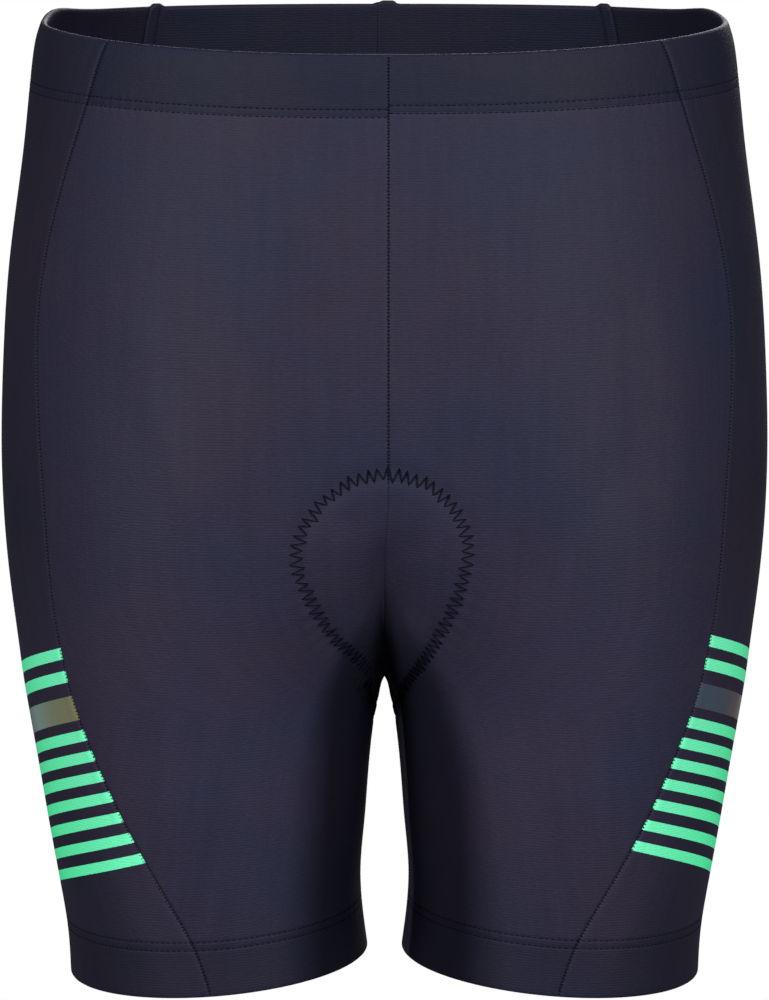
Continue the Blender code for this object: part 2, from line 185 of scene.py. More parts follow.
def outsideOf(point):  # zero on the cloth's outer face, positive outside
    x, y, z = point[..., 0], point[..., 1], point[..., 2]
    crease, depth, parting = faceValues(z, y < 0)
    reach = smoothRead(bodyTable["sideReach"], z)
    centre = smoothRead(bodyTable["legCentre"], z)
    across = np.sqrt(x ** 2 + crease ** 2)
    outerShare = (across - centre) / (np.sqrt(reach ** 2 + crease ** 2) - centre)
    innerShare = (across - centre) * parting / (centre - crease)
    share = np.where(across >= centre, outerShare, innerShare)
    return np.sqrt(share ** 2 + (y / depth) ** 2) - 1


def ease(value):
    value = np.clip(value, 0, 1)
    return value * value * (3 - 2 * value)


def riseAndDip(point):
    x, y, z = np.abs(point[..., 0]), point[..., 1], point[..., 2]
    form = wornForm
    forward = np.clip(-y / faceValues(z, y < 0)[1], -1, 1)
    even = (form["frontDip"] + form["backRise"]) / 2
    odd = (form["frontDip"] - form["backRise"]) / 2
    nearWaist = ease((z - form["dipFadesAt"]) / (form["waistLevel"] - form["dipFadesAt"]))
    centre = smoothRead(bodyTable["legCentre"], z)
    outward = (x - centre) / (smoothRead(bodyTable["sideReach"], z) - centre)
    nearHem = ease((form["tiltStartsAt"] - z) / (form["tiltStartsAt"] - form["legEndLevel"]))
    return (even * forward ** 2 + odd * forward) * nearWaist - form["hemTilt"] * outward * nearHem


def gradientOf(function, point, step=0.00002):
    parts = []
    for axis in np.eye(3) * step:
        parts.append((function(point + axis) - function(point - axis)) / (2 * step))
    return np.stack(parts, -1)


def settle(point, inward):  # into the dipped and tilted form, then in through the cloth
    normal = gradientOf(outsideOf, point)
    lean = gradientOf(riseAndDip, point)
    normal = normal - lean * normal[..., 2:3] / (1 + lean[..., 2:3])
    normal = normal / np.linalg.norm(normal, axis=-1, keepdims=True)
    moved = point.copy()
    moved[..., 2] += riseAndDip(point)
    return moved - normal * np.asarray(inward, float)[..., None], normal


def ontoCloth(point, rounds=1):  # slides a point onto the cloth's outer face
    for _ in range(rounds):
        slope = gradientOf(outsideOf, point)
        point = point - slope * (outsideOf(point) / (slope ** 2).sum(-1))[:, None]
    return point


def lengthsAlong(points):
    steps = np.linalg.norm(np.diff(points, axis=0), axis=1)
    return np.concatenate([[0], np.cumsum(steps)])


def pointsAt(places, lengths, points):  # the points at these lengths along a line
    return np.stack([np.interp(places, lengths, points[:, k]) for k in range(3)], -1)


def riseLine(side, share):  # the centre seam, from the crotch up to the waist
    crotch = wornForm["crotchLevel"]
    height = crotch + (wornForm["waistLevel"] - crotch) * share ** 2
    depth, parting = faceValues(height, side < 0)[1:]
    y = side * depth * np.sqrt(np.maximum(1 - np.minimum(parting, 1) ** 2, 0))
    return np.stack([np.zeros_like(height), y, height], -1)


# The path of the sheet, from its raw edge inside the waist, up over the fold, down the outside,
# round the hem fold and up inside the leg. It is one sheet, folded over the elastic.
sheetPath = {
    "cloth": 0.0009,
    "casingDepth": 0.0335,
    "casingThickness": 0.0031,
    "hemDepth": 0.0298,
    "hemThickness": 0.0028,
    "foldSteps": 7,
    "waistNeedleRows": {"left": (0.0250, 0.0292), "right": (0.0272, 0.0314)},  # below the fold
    "hemNeedleRows": {"left": (0.0241, 0.0280), "right": (0.0230, 0.0269)},  # above the fold
    "fineStep": 0.0007,
    "coarseStep": 0.0025,
    "fineReach": 0.0022,
    "levelBand": 0.045,  # the rows lie level down to here below the waist
}


def needleLevels(sideName):  # the levels of the sewn rows at the waist and at the hem
    waist = [wornForm["waistLevel"] - row for row in sheetPath["waistNeedleRows"][sideName]]
    hem = [wornForm["legEndLevel"] + row for row in sheetPath["hemNeedleRows"][sideName]]
    return waist, hem


def steppedLevels(top, bottom, fineAt):  # levels from top to bottom, close together at needle rows
    path = sheetPath
    levels = [top]
    while levels[-1] > bottom:
        near = min([abs(levels[-1] - level) for level in fineAt] + [1])
        grow = ease((near - path["fineReach"]) / (4 * path["fineReach"]))
        extra = (path["coarseStep"] - path["fineStep"]) * grow
        levels.append(levels[-1] - path["fineStep"] - extra)
    levels = np.array(levels)
    return top + (levels - top) * (bottom - top) / (levels[-1] - top)


def foldRow(start, bend, turn, upward, stretch):  # one row round a fold, on both skins
    inner = bend - sheetPath["cloth"]
    rise, run = upward * math.sin(turn), math.cos(turn)
    return start + bend * rise, start + inner * rise, bend - bend * run, bend - inner * run, stretch


def sheetRows():  # each row's level and depth on both skins, and the stretch of sheet it is in
    path = sheetPath
    top, bottom, cloth = wornForm["waistLevel"], wornForm["legEndLevel"], path["cloth"]
    waistBend, hemBend = path["casingThickness"] / 2, path["hemThickness"] / 2
    foldTurns = np.linspace(0, math.pi, path["foldSteps"] + 2)[1:-1]
    waistNeedles = needleLevels("left")[0] + needleLevels("right")[0]
    hemNeedles = needleLevels("left")[1] + needleLevels("right")[1]
    rows = []
    for level in steppedLevels(top - waistBend, top - path["casingDepth"], waistNeedles)[::-1]:
        rows.append((level, level, 2 * waistBend, 2 * waistBend - cloth, "casing"))
    for turn in foldTurns[::-1]:
        rows.append(foldRow(top - waistBend, waistBend, turn, 1, "waistFold"))
    upper = steppedLevels(top - waistBend, wornForm["crotchLevel"], waistNeedles)
    lower = steppedLevels(wornForm["crotchLevel"], bottom + hemBend, hemNeedles)
    for level in list(upper) + list(lower[1:]):
        rows.append((level, level, 0, cloth, "outside"))
    for turn in foldTurns:
        rows.append(foldRow(bottom + hemBend, hemBend, turn, -1, "hemFold"))
    for level in steppedLevels(bottom + path["hemDepth"], bottom + hemBend, hemNeedles)[::-1]:
        rows.append((level, level, 2 * hemBend, 2 * hemBend - cloth, "hem"))
    return rows


allRows = sheetRows()
print("rows of cloth", len(allRows))


def inStretch(*stretches):  # marks the rows in these stretches of the sheet
    return np.array([row[4] in stretches for row in allRows])[:, None]


def middleLevels(levels, side):  # spreads rows evenly along the centre seam, down to the crotch
    levels = np.array(levels)
    crotch = wornForm["crotchLevel"]
    start = wornForm["waistLevel"] - sheetPath["levelBand"]
    line = riseLine(side, np.linspace(0, 1, 1200))
    length = lengthsAlong(line)
    inBody = (levels < start) & (levels > crotch)
    share = (levels[inBody] - crotch) / (start - crotch)
    moved = levels.copy()
    moved[inBody] = np.interp(share * np.interp(start, line[:, 2], length), length, line[:, 2])
    return moved


frontMiddleTurn = -math.pi / 2  # the middle seams, and the inseam below the crotch
backMiddleTurn = math.pi * 1.5


def seamTurn(name, height):
    return np.radians(smoothRead(seamTable[name], height))


# Columns lie close together beside the seams and about 1.7 mm apart elsewhere.
panelCuts = {
    "columns": {"front": 134, "side": 76, "back": 104},
    "edgeCloseness": 0.45,
    "samples": 121,
}


def columnShares(count):
    even = np.linspace(0, 1, count + 1)
    return even - np.sin(2 * math.pi * even) / (2 * math.pi) * panelCuts["edgeCloseness"]


def turnsRound(first, last, height):  # sampled turns at each height, and the lengths round to them
    samples = np.linspace(0, 1, panelCuts["samples"])
    turns = first[:, None] + (last - first)[:, None] * samples
    points = sectionPoint(turns, height[:, None])
    steps = np.linalg.norm(np.diff(points, axis=-2), axis=-1)
    return turns, np.concatenate([np.zeros((len(height), 1)), np.cumsum(steps, -1)], -1)


def spreadTurns(first, last, share, height):
    turns, length = turnsRound(first, last, height)
    picked = np.empty(len(height))
    for i in range(len(height)):
        picked[i] = np.interp(share[i] * length[i, -1], length[i], turns[i])
    return picked, share * length[:, -1], length[:, -1]


def panelTurns(kind, levels):  # turn and height of every point of one skin of a panel
    share = columnShares(panelCuts["columns"][kind])[None, :]
    side = np.array(levels)[:, None]
    if kind == "side":
        rows = side[:, 0]
        turns, length = turnsRound(seamTurn("frontSeam", rows), seamTurn("backSeam", rows), rows)
        whole = length[:, -1:] + 0 * share
        picked = [np.interp(share[0] * whole[i, 0], length[i], turns[i]) for i in range(len(rows))]
        return np.stack(picked), side + 0 * share, whole * share, whole
    middle = middleLevels(levels, -1 if kind == "front" else 1)[:, None]
    if kind == "front":
        height = middle + (side - middle) * share
        first, last = frontMiddleTurn + 0 * height, seamTurn("frontSeam", height)
    else:
        height = side + (middle - side) * share
        first, last = seamTurn("backSeam", height), backMiddleTurn + 0 * height
    share = share + 0 * height
    spread = spreadTurns(first.ravel(), last.ravel(), share.ravel(), height.ravel())
    turn, across, whole = [part.reshape(height.shape) for part in spread]
    return turn, height, across, whole


panelTurnsFound = {}
for kindName in ("front", "side", "back"):
    panelTurnsFound[kindName] = [panelTurns(kindName, [row[k] for row in allRows]) for k in (0, 1)]
print("cloth points spread")


# The pad's outline on the cloth
padSewing = {
    "frontRound": 0.045,
    "backRound": 0.070,
    "walkStep": 0.0005,
    "rows": 180,
    "pitch": 0.0043,
    "width": 0.0062,
    "thread": 0.00025,
    "unevenness": 0.00038,
    "groove": 0.0007,
    "grooveWidth": 0.0034,
    "puff": 0.0010,
    "leanAt": (-0.17, -0.125, -0.085, -0.066, -0.045, -0.02),  # the sewn line sits askew
    "lean": (-0.0002, -0.0016, 0.0012, 0.0042, 0.0050, 0.0),
    "narrower": (0.0009, 0.0009, 0.0012, 0.0026, 0.0034, 0.0009),
    "threadRise": 0.00022,
    "puffFade": 0.009,
    "pucker": 0.00045,
    "puckerPitch": 0.0074,
    "puckerReach": 0.006,
    "puckerLow": (-0.215, 0.05),  # puckers deepen below this level, over this height
    "lineSteps": 600,
    "fieldBeyond": 0.02,
    "fieldReach": 0.090,
    "outlineStep": 0.0004,
    "searchLevels": (-0.36, -0.12),
    "searchAcross": 0.12,
    "searchReach": 0.05,
}


def outlineHalfWidth(along):
    first, last = padRows[0][0], padRows[-1][0]
    frontRound = 1 - np.clip((along - first) / padSewing["frontRound"], 0, 1)
    backRound = 1 - np.clip((last - along) / padSewing["backRound"], 0, 1)
    width = smoothRead(padTable["halfWidth"], along)
    return width * np.sqrt(1 - frontRound ** 2) * np.sqrt(1 - backRound ** 2)


def walkAcross(start, reach):  # steps over the cloth from the centre seam straight towards +X
    step = padSewing["walkStep"]
    point = start.copy()
    heading = np.zeros_like(point)
    heading[:, 0] = 1
    walked = [point]
    for _ in range(int(round(reach / step))):
        ahead = ontoCloth(point + heading * step, 3)
        slope = gradientOf(outsideOf, ahead)
        move = ahead - point
        move -= slope * (move * slope).sum(-1, keepdims=True) / (slope ** 2).sum(-1, keepdims=True)
        heading = move / np.linalg.norm(move, axis=-1, keepdims=True)
        point = ahead
        walked.append(point)
    return np.stack(walked, 1)


def padGround():  # the crotch line and the walked field beside it
    steps, beyond = padSewing["lineSteps"], padSewing["fieldBeyond"]
    share = np.linspace(0, 1, steps)
    line = np.concatenate([riseLine(-1, share)[::-1], riseLine(1, share)[1:]])
    along = lengthsAlong(line)
    along -= along[steps - 1]
    rows = np.linspace(padRows[0][0] - beyond, padRows[-1][0] + beyond, padSewing["rows"])
    return rows, walkAcross(pointsAt(rows, along, line), padSewing["fieldReach"])


padAlong, padField = padGround()
padAcross = np.arange(padField.shape[1]) * padSewing["walkStep"]
print("pad ground walked")


def fieldPoint(along, across):  # a point of the unsettled cloth at a place beside the crotch line
    row = np.clip(np.interp(along, padAlong, np.arange(len(padAlong))), 0, len(padAlong) - 1.001)
    column = np.clip(np.abs(across) / padSewing["walkStep"], 0, len(padAcross) - 1.001)
    i, j = row.astype(int), column.astype(int)
    a, b = (row - i)[:, None], (column - j)[:, None]
    return (
        padField[i, j] * (1 - a) * (1 - b) + padField[i + 1, j] * a * (1 - b)
        + padField[i, j + 1] * (1 - a) * b + padField[i + 1, j + 1] * a * b
    )


def outlinePath():  # the +X half of the sewn outline, evenly spaced from front to back
    first, last = padRows[0][0], padRows[-1][0]
    turn = np.linspace(0, math.pi, 3000)
    along = (first + last) / 2 - (last - first) / 2 * np.cos(turn)
    points = fieldPoint(along, outlineHalfWidth(along))
    length = lengthsAlong(points)
    even = np.linspace(0, length[-1], int(length[-1] / padSewing["outlineStep"]))
    return pointsAt(even, length, points), even, np.interp(even, length, along)


outlinePoints, outlineLength, outlineAlong = outlinePath()
outlineTree = kdtree.KDTree(len(outlinePoints))
for index, place in enumerate(outlinePoints):
    outlineTree.insert(Vector(place), index)
outlineTree.balance()
thinnedField = padField[::2, ::6]
fieldTree = kdtree.KDTree(thinnedField.shape[0] * thinnedField.shape[1])
fieldPlaces = []
for rowAlong, rowPoints in zip(padAlong[::2], thinnedField):
    for rowAcross, place in zip(padAcross[::6], rowPoints):
        fieldTree.insert(Vector(place), len(fieldPlaces))
        fieldPlaces.append((rowAlong, rowAcross))
fieldTree.balance()
print("pad outline", round(outlineLength[-1] * 2, 3), "m long")


def padDistance(points):  # signed distance to the outline, negative inside, and the place along it
    sewn = padSewing
    low, high = sewn["searchLevels"]
    flat = points.reshape(-1, 3)
    distance = np.full(len(flat), 1.0)
    along = np.zeros(len(flat))
    near = (flat[:, 2] < high) & (flat[:, 2] > low) & (flat[:, 0] < sewn["searchAcross"])
    for k in np.nonzero(near)[0]:
        index, gap = outlineTree.find(Vector(flat[k]))[1:]
        if gap < sewn["searchReach"]:
            rowAlong, rowAcross = fieldPlaces[fieldTree.find(Vector(flat[k]))[1]]
            inside = rowAcross < outlineHalfWidth(np.array([rowAlong]))[0]
            if padRows[0][0] < rowAlong < padRows[-1][0] and inside:
                gap = -gap
            distance[k] = gap
            along[k] = outlineLength[index]
    return distance.reshape(points.shape[:-1]), along.reshape(points.shape[:-1])


# Soft folds, listed for each side: start and end (across x, height), width and depth.
# They are drag lines of a stretched knit, so they are long, shallow and uneven.
softFolds = {
    "front": (
        ((-0.100, -0.125), (-0.066, -0.215), 0.010, -0.0012),
        ((-0.112, -0.110), (-0.080, -0.205), 0.012, 0.0011),
        ((-0.030, -0.045), (-0.032, -0.105), 0.010, 0.0009),
        ((0.034, -0.050), (0.030, -0.120), 0.011, 0.0010),
        ((0.060, -0.070), (0.047, -0.150), 0.010, -0.0006),
        ((-0.075, -0.230), (-0.088, -0.360), 0.016, 0.0010),
        ((0.070, -0.235), (0.090, -0.350), 0.015, 0.0009),
        ((0.110, -0.090), (0.118, -0.200), 0.012, -0.0008),
        ((0.060, -0.240), (0.112, -0.170), 0.011, -0.0007),
        ((-0.120, -0.250), (-0.104, -0.390), 0.013, -0.0007),
        ((0.000, -0.214), (0.000, -0.292), 0.0052, -0.0030),
        ((-0.021, -0.205), (-0.017, -0.262), 0.013, 0.0012),
        ((0.026, -0.200), (0.022, -0.262), 0.011, 0.0007),
        ((0.010, -0.208), (0.009, -0.256), 0.009, -0.0010),
    ),
    "back": (
        ((-0.040, -0.050), (-0.050, -0.130), 0.013, 0.0009),
        ((0.050, -0.045), (0.042, -0.120), 0.012, -0.0009),
        ((-0.095, -0.250), (-0.050, -0.285), 0.008, -0.0016),
        ((-0.110, -0.268), (-0.060, -0.300), 0.007, 0.0012),
        ((0.100, -0.245), (0.048, -0.282), 0.008, -0.0015),
        ((0.108, -0.272), (0.060, -0.305), 0.009, 0.0011),
        ((-0.085, -0.310), (-0.090, -0.390), 0.014, 0.0010),
        ((0.080, -0.320), (0.088, -0.395), 0.013, -0.0008),
        ((0.115, -0.130), (0.090, -0.225), 0.014, -0.0009),
    ),
}


def foldDepth(points, sideSign):  # how far the soft folds push the cloth out
    x = points[..., 0] * sideSign
    z = points[..., 2]
    total = np.zeros_like(x)
    for face, sign in (("front", -1), ("back", 1)):
        facing = ease((points[..., 1] * sign - 0.01) / 0.03)
        for start, end, width, depth in softFolds[face]:
            run = np.array(end) - np.array(start)
            length = np.linalg.norm(run)
            run = run / length
            along = (x - start[0]) * run[0] + (z - start[1]) * run[1]
            off = (x - start[0]) * run[1] - (z - start[1]) * run[0]
            fade = np.exp(-((np.maximum(np.abs(along / length - 0.5) - 0.32, 0)) / 0.16) ** 2)
            total += facing * depth * fade * np.exp(-(off / width) ** 2)
    return total


needleRelief = {
    "needleGroove": 0.00026,
    "needleWidth": 0.0007,
    "seamGroove": 0.00055,
    "seamWidth": 0.0009,
    "seamWelt": 0.00014,  # the turned seam allowance under the cloth
    "weltStart": 0.0006,
    "weltReach": 0.0065,
    "weltFade": 0.0015,
    "weltAtWaist": 0.0016,  # where the allowance is folded into the casing
    "weltAtWaistReach": 0.010,
    "pucker": 0.00007,
    "puckerPitch": 0.0058,
    "puckerReach": 0.0045,
    "insideWelt": 0.0007,  # the allowance stands out more on the inside
    "insideGroove": 0.0003,
    "insideWidth": 0.0007,
    "bandAtWaist": 0.039,  # the casing and the hems cover the allowances
    "bandAtHem": 0.036,
    "bandFade": 0.004,
}


def seamWelts(kind, across, whole):  # the allowance's rise, and the distance to the nearer seam
    relief = needleRelief
    welt = np.zeros_like(across)
    if kind in ("side", "back"):  # the allowances are turned towards the back
        welt = ease((relief["weltReach"] - across) / relief["weltFade"])
        welt = welt * ease(across / relief["weltStart"])
    return welt, np.minimum(across, whole - across)


def padRelief(points):  # the sewn line pulls the cloth in, and the foam pushes it out inside it
    sewn = padSewing
    gap, place = padDistance(points)
    out = -sewn["groove"] * np.exp(-(gap / sewn["grooveWidth"]) ** 2)
    out += sewn["puff"] * ease(-gap / sewn["puffFade"]) * (gap < 0)
    around = np.exp(-np.abs(gap) / sewn["puckerReach"]) * (np.abs(gap) < sewn["searchReach"])
    lowFrom, lowOver = sewn["puckerLow"]
    low = ease((lowFrom - points[..., 2]) / lowOver)
    ripple = np.sin(2 * math.pi * place / sewn["puckerPitch"])
    return out + sewn["pucker"] * around * (0.30 + 0.70 * low) * ripple


otherSide = np.array([-1, 1, 1])


def clothRise(points):  # how far out the cloth stands by the pad's outline, on either side
    folded = np.where(points[..., :1] < 0, points * otherSide, points)
    return foldDepth(points, 1) + padRelief(folded)


def outerRelief(kind, sideName, turns):  # how far out each point of the outer skin moves
    turn, height, across, whole = turns
    relief = needleRelief
    points = sectionPoint(turn, height)
    welt, edge = seamWelts(kind, across, whole)
    out = -relief["seamGroove"] * np.exp(-(edge / relief["seamWidth"]) ** 2)
    out += relief["seamWelt"] * welt
    nearNeedle = np.zeros_like(height)
    for level in sum(needleLevels(sideName), []):
        off = height - level
        out -= relief["needleGroove"] * np.exp(-(off / relief["needleWidth"]) ** 2)
        nearNeedle = np.maximum(nearNeedle, np.exp(-(off / relief["puckerReach"]) ** 2))
    ripple = np.sin(2 * math.pi * across / relief["puckerPitch"] + 2.2 * np.sin(across * 97))
    out += relief["pucker"] * nearNeedle * ripple * (0.6 + 0.4 * np.sin(across * 61 + 1))
    out += foldDepth(points, 1 if sideName == "left" else -1)
    if kind != "side":
        out += padRelief(points)
    return np.where(inStretch("outside"), out, 0), points


def insideRelief(kind, turns):  # allowances that show on the inside of the cloth
    relief = needleRelief
    welt, edge = seamWelts(kind, turns[2], turns[3])
    groove = relief["insideGroove"] * np.exp(-(edge / relief["insideWidth"]) ** 2)
    return relief["insideWelt"] * welt - groove


backBumps = {  # how far from the back seams the folded edge is lifted
    "sideRise": 0.0026,
    "sideReach": 0.0094,
    "sideFall": 0.0040,
    "middleShare": 0.45,
    "leftRise": 0.0030,
    "leftReach": 0.0070,
    "leftFall": 0.0042,
    "rightReach": 0.0028,
}


def waistBump(kind, sideName, turns):  # the allowances at the back seams lift the folded edge
    bumps = backBumps
    fromSide, fromMiddle = turns[2], turns[3] - turns[2]
    if kind != "back":
        return np.zeros_like(fromSide)
    fall = ease((bumps["sideReach"] - fromSide) / bumps["sideFall"])
    lift = ease(fromSide / bumps["sideRise"]) * fall
    share = bumps["middleShare"]
    if sideName == "left":
        lift += share + (1 - share) * ease(fromMiddle / bumps["leftRise"])
        lift -= ease((fromMiddle - bumps["leftReach"]) / bumps["leftFall"])
    else:
        lift += share * ease((bumps["rightReach"] - fromMiddle) / bumps["rightReach"])
    return np.clip(lift, 0, 1)


# The shorts hang a little askew: the middle seams lie beside the middle. The waist edge stands up
# where it turns from each side to the back.
wornAskew = {
    "front": 0.0018,
    "frontReach": 0.055,
    "frontFrom": (-0.228, 0.036),  # the level where it starts, and the height that it takes
    "back": -0.0034,
    "backReach": 0.150,
    "backFrom": (-0.13, 0.10),
    "faceFade": 0.03,
    "cornerLift": 0.0027,
    "cornerAt": 0.030,
    "cornerWidth": 0.020,
    "cornerFrom": (-0.030, 0.040),
}


def settleAskew(points):
    x, y, z = points[..., 0], points[..., 1], points[..., 2]
    worn = wornAskew
    moved = points.copy()
    for face, sign in (("front", -1), ("back", 1)):
        start, over = worn[face + "From"]
        shift = worn[face] * ease(sign * y / worn["faceFade"]) * ease((z - start) / over)
        moved[..., 0] += shift * np.exp(-(x / worn[face + "Reach"]) ** 2)
    start, over = worn["cornerFrom"]
    corner = np.exp(-((y - worn["cornerAt"]) / worn["cornerWidth"]) ** 2) * ease((z - start) / over)
    moved[..., 2] += worn["cornerLift"] * corner
    return moved


def makeMesh(name, points, faces, uvs=None):
    mesh = bpy.data.meshes.new(name)
    mesh.from_pydata([tuple(p) for p in points], [], faces)
    if uvs is not None:
        layer = mesh.uv_layers.new(name="clothMap")
        loops = np.empty(len(mesh.loops), int)
        mesh.loops.foreach_get("vertex_index", loops)
        layer.data.foreach_set("uv", np.asarray(uvs, float)[loops].ravel())
    mesh.update()
    piece = bpy.data.objects.new(name, mesh)
    bpy.context.scene.collection.objects.link(piece)
    return piece


def gridFaces(rows, columns, start, flip):
    i, j = np.meshgrid(np.arange(rows - 1), np.arange(columns - 1), indexing="ij")
    a = start + i * columns + j
    b, c, d = a + columns, a + columns + 1, a + 1
    order = (a, d, c, b) if flip else (a, b, c, d)
    return np.stack(order, -1).reshape(-1, 4)


def edgeFaces(rows, columns, flip):  # the cut edges that join the two skins
    count = rows * columns
    faces = []
    for j in range(columns - 1):
        faces.append((j, j + 1, count + j + 1, count + j))
        k = (rows - 1) * columns + j
        faces.append((k, count + k, count + k + 1, k + 1))
    for i in range(rows - 1):
        k = i * columns
        faces.append((k, count + k, count + k + columns, k + columns))
        k = i * columns + columns - 1
        faces.append((k, k + columns, count + k + columns, count + k))
    faces = np.array(faces)
    return faces[:, ::-1] if flip else faces


def finishShell(piece, mergeGap=0):  # joins its doubles and points its faces outwards
    bm = bmesh.new()
    bm.from_mesh(piece.data)
    if mergeGap:
        bmesh.ops.remove_doubles(bm, verts=bm.verts, dist=mergeGap)
    bmesh.ops.recalc_face_normals(bm, faces=bm.faces)
    if bm.calc_volume(signed=True) < 0:
        bmesh.ops.reverse_faces(bm, faces=bm.faces)
    bm.to_mesh(piece.data)
    bm.free()
    piece.data.shade_smooth()


def makePanel(kind, sideName):
    relief = needleRelief
    top, bottom = wornForm["waistLevel"], wornForm["legEndLevel"]
    depthA, depthB = [np.array([row[k] for row in allRows])[:, None] for k in (2, 3)]
    turnsA, turnsB = panelTurnsFound[kind]
    out, pointsA = outerRelief(kind, sideName, turnsA)
    pointsB = sectionPoint(turnsB[0], turnsB[1])
    folded = np.where(inStretch("casing", "waistFold"), insideRelief(kind, turnsA) * 0.8, 0)
    nearBands = np.maximum(
        ease((turnsB[1] - (top - relief["bandAtWaist"])) / relief["bandFade"]),
        ease(((bottom + relief["bandAtHem"]) - turnsB[1]) / relief["bandFade"]),
    )
    inner = np.where(inStretch("outside"), insideRelief(kind, turnsB) * (1 - nearBands), 0)
    skins = [settle(pointsA, depthA - out + folded)[0], settle(pointsB, depthB - out + inner)[0]]
    lift = relief["weltAtWaist"] * waistBump(kind, sideName, turnsA)
    reach = relief["weltAtWaistReach"]
    for skin, turns in zip(skins, (turnsA, turnsB)):
        skin[..., 2] += lift * ease((turns[1] - (top - reach)) / reach)
    rows, columns = skins[0].shape[:2]
    flip = sideName == "right"
    points = np.concatenate([skin.reshape(-1, 3) for skin in skins])
    points = settleAskew(points * otherSide if flip else points)
    faces = [gridFaces(rows, columns, 0, flip), gridFaces(rows, columns, rows * columns, not flip)]
    faces.append(edgeFaces(rows, columns, flip))
    across = turnsA[3] - turnsA[2] if kind == "back" else turnsA[2]
    # where the hem is turned up, the map goes on below the fold
    along = np.where(inStretch("hem"), 2 * bottom - turnsA[1], turnsA[1])
    uvs = np.stack([across, along], -1).reshape(-1, 2)
    # the print is on the outside alone, so the inner skin lies elsewhere on the map
    uvs = np.concatenate([uvs, uvs + (2, 0)])
    name = kind + "Panel" + sideName.capitalize()
    piece = makeMesh(name, points, np.concatenate(faces).tolist(), uvs)
    finishShell(piece)
    area = sum(face.area for face in piece.data.polygons) / 2
    print(name, len(piece.data.polygons) * 2, "triangles", round(area, 4), "m2")
    return piece, area


# Materials

def linearColour(code):
    values = [int(code[k:k + 2], 16) / 255 for k in (1, 3, 5)]
    return tuple(v / 12.92 if v <= 0.04045 else ((v + 0.055) / 1.055) ** 2.4 for v in values) + (1,)


def addNode(tree, kind, settings=None, inputs=None, links=None):
    node = tree.nodes.new(kind)
    for key, value in (settings or {}).items():
        setattr(node, key, value)
    for key, value in (inputs or {}).items():
        node.inputs[key].default_value = value
    for key, source in (links or {}).items():
        tree.links.new(source, node.inputs[key])
    return node


def newMaterial(name):
    material = bpy.data.materials.new(name)
    material.use_nodes = True
    tree = material.node_tree
    for node in list(tree.nodes):
        if node.type not in ("BSDF_PRINCIPLED", "OUTPUT_MATERIAL"):
            tree.nodes.remove(node)
    return material, tree, tree.nodes["Principled BSDF"]


knitLooks = {
    "navy": "#1c1d2e",
    "plum": "#231e2d",
    "bandTint": "#bcc7d4",  # cloth looks darker and cooler where it lies double over the elastic
    "sideBandTint": "#e9f2fb",
    "hemTint": "#dde2e6",
    "ribPitchMm": 1.25,  # real courses are near 0.4 mm, drawn coarser so that they show
    "walePitchMm": 0.9,
    "ribBump": 0.16,
    "patchSizeMm": 80,
    "roughness": 0.62,
    "specular": 0.11,
    "sheen": 0.035,
    "mainPaintedShade": (0.98, 1.13, 0.965),  # painted light and shade at hem, thighs and hips: paler over the thighs, where the light falls stronger
    "sidePaintedShade": (0.92, 0.92, 0.60),  # the side panels' knit is a little darker, and painted shade darkens it most over the hips
    "sidePaintedEdgeShade": (1.18, 0.84),  # and painted shade, darker away from the front seam towards the outline
    "mainPaintedEdgeShade": (1.0, 1.0),
}

printLooks = {
    "green": "#62dba6",
    # painted light: the next green is brighter, laid on towards the back where the light falls off
    "greenWithPaintedLight": "#4bea9f",
    "slope": 0.270,  # stripes drop towards the back, the upper ones more steeply
    "slopeFrom": -0.268,
    "slopeEasing": 0.27,
    "bendFrom": -0.325,  # the lowest stripes of the right leg lie nearly level
    "bendReach": 0.037,
    "stripeTops": (-0.2684, -0.2789),
    "barTop": -0.2904,
    "barHeight": 0.0110,
    "repeatTop": -0.3059,
    "repeatPitch": 0.00933,
    "repeats": 7,
    "stripeHeight": 0.0053,
    "thinning": 0.0100,  # lower stripes are thinner
    "leftRaise": 0.0060,  # the left leg's print sits higher
    "inkCreep": 0.00022,  # how unevenly the ink's edge runs
}


def mathNode(tree, operation, *values):
    node = addNode(tree, "ShaderNodeMath", {"operation": operation})
    for k, value in enumerate(values):
        if isinstance(value, (int, float)):
            node.inputs[k].default_value = value
        else:
            tree.links.new(value, node.inputs[k])
    return node.outputs[0]


def knitColour(tree, looks):  # navy that drifts to plum in wide patches, as dyed polyamide does
    place = addNode(tree, "ShaderNodeTexCoord").outputs["Object"]
    patch = addNode(tree, "ShaderNodeTexNoise", None, {
        "Scale": 1000 / looks["patchSizeMm"], "Detail": 3.0, "Roughness": 0.55,
    }, {"Vector": place})
    ramp = addNode(tree, "ShaderNodeMapRange", None, {
        "From Min": 0.35, "From Max": 0.65,
    }, {"Value": patch.outputs["Fac"]})
    mix = addNode(tree, "ShaderNodeMix", {"data_type": "RGBA"}, {
        6: linearColour(looks["navy"]), 7: linearColour(looks["plum"]),
    }, {0: ramp.outputs[0]})
    return mix.outputs[2]


def paintedFoldHighlight(tree, colour, level):  # painted highlight: the folded waist edge is drawn a little paler
    mask = addNode(tree, "ShaderNodeMapRange", None, {
        "From Min": wornForm["waistLevel"] - 0.0017, "From Max": wornForm["waistLevel"] - 0.0006,
        "To Min": 1.0, "To Max": 1.35,
    }, {"Value": level})
    return addNode(tree, "ShaderNodeVectorMath", {"operation": "SCALE"}, None, {
        0: colour, "Scale": mask.outputs[0],
    }).outputs[0]


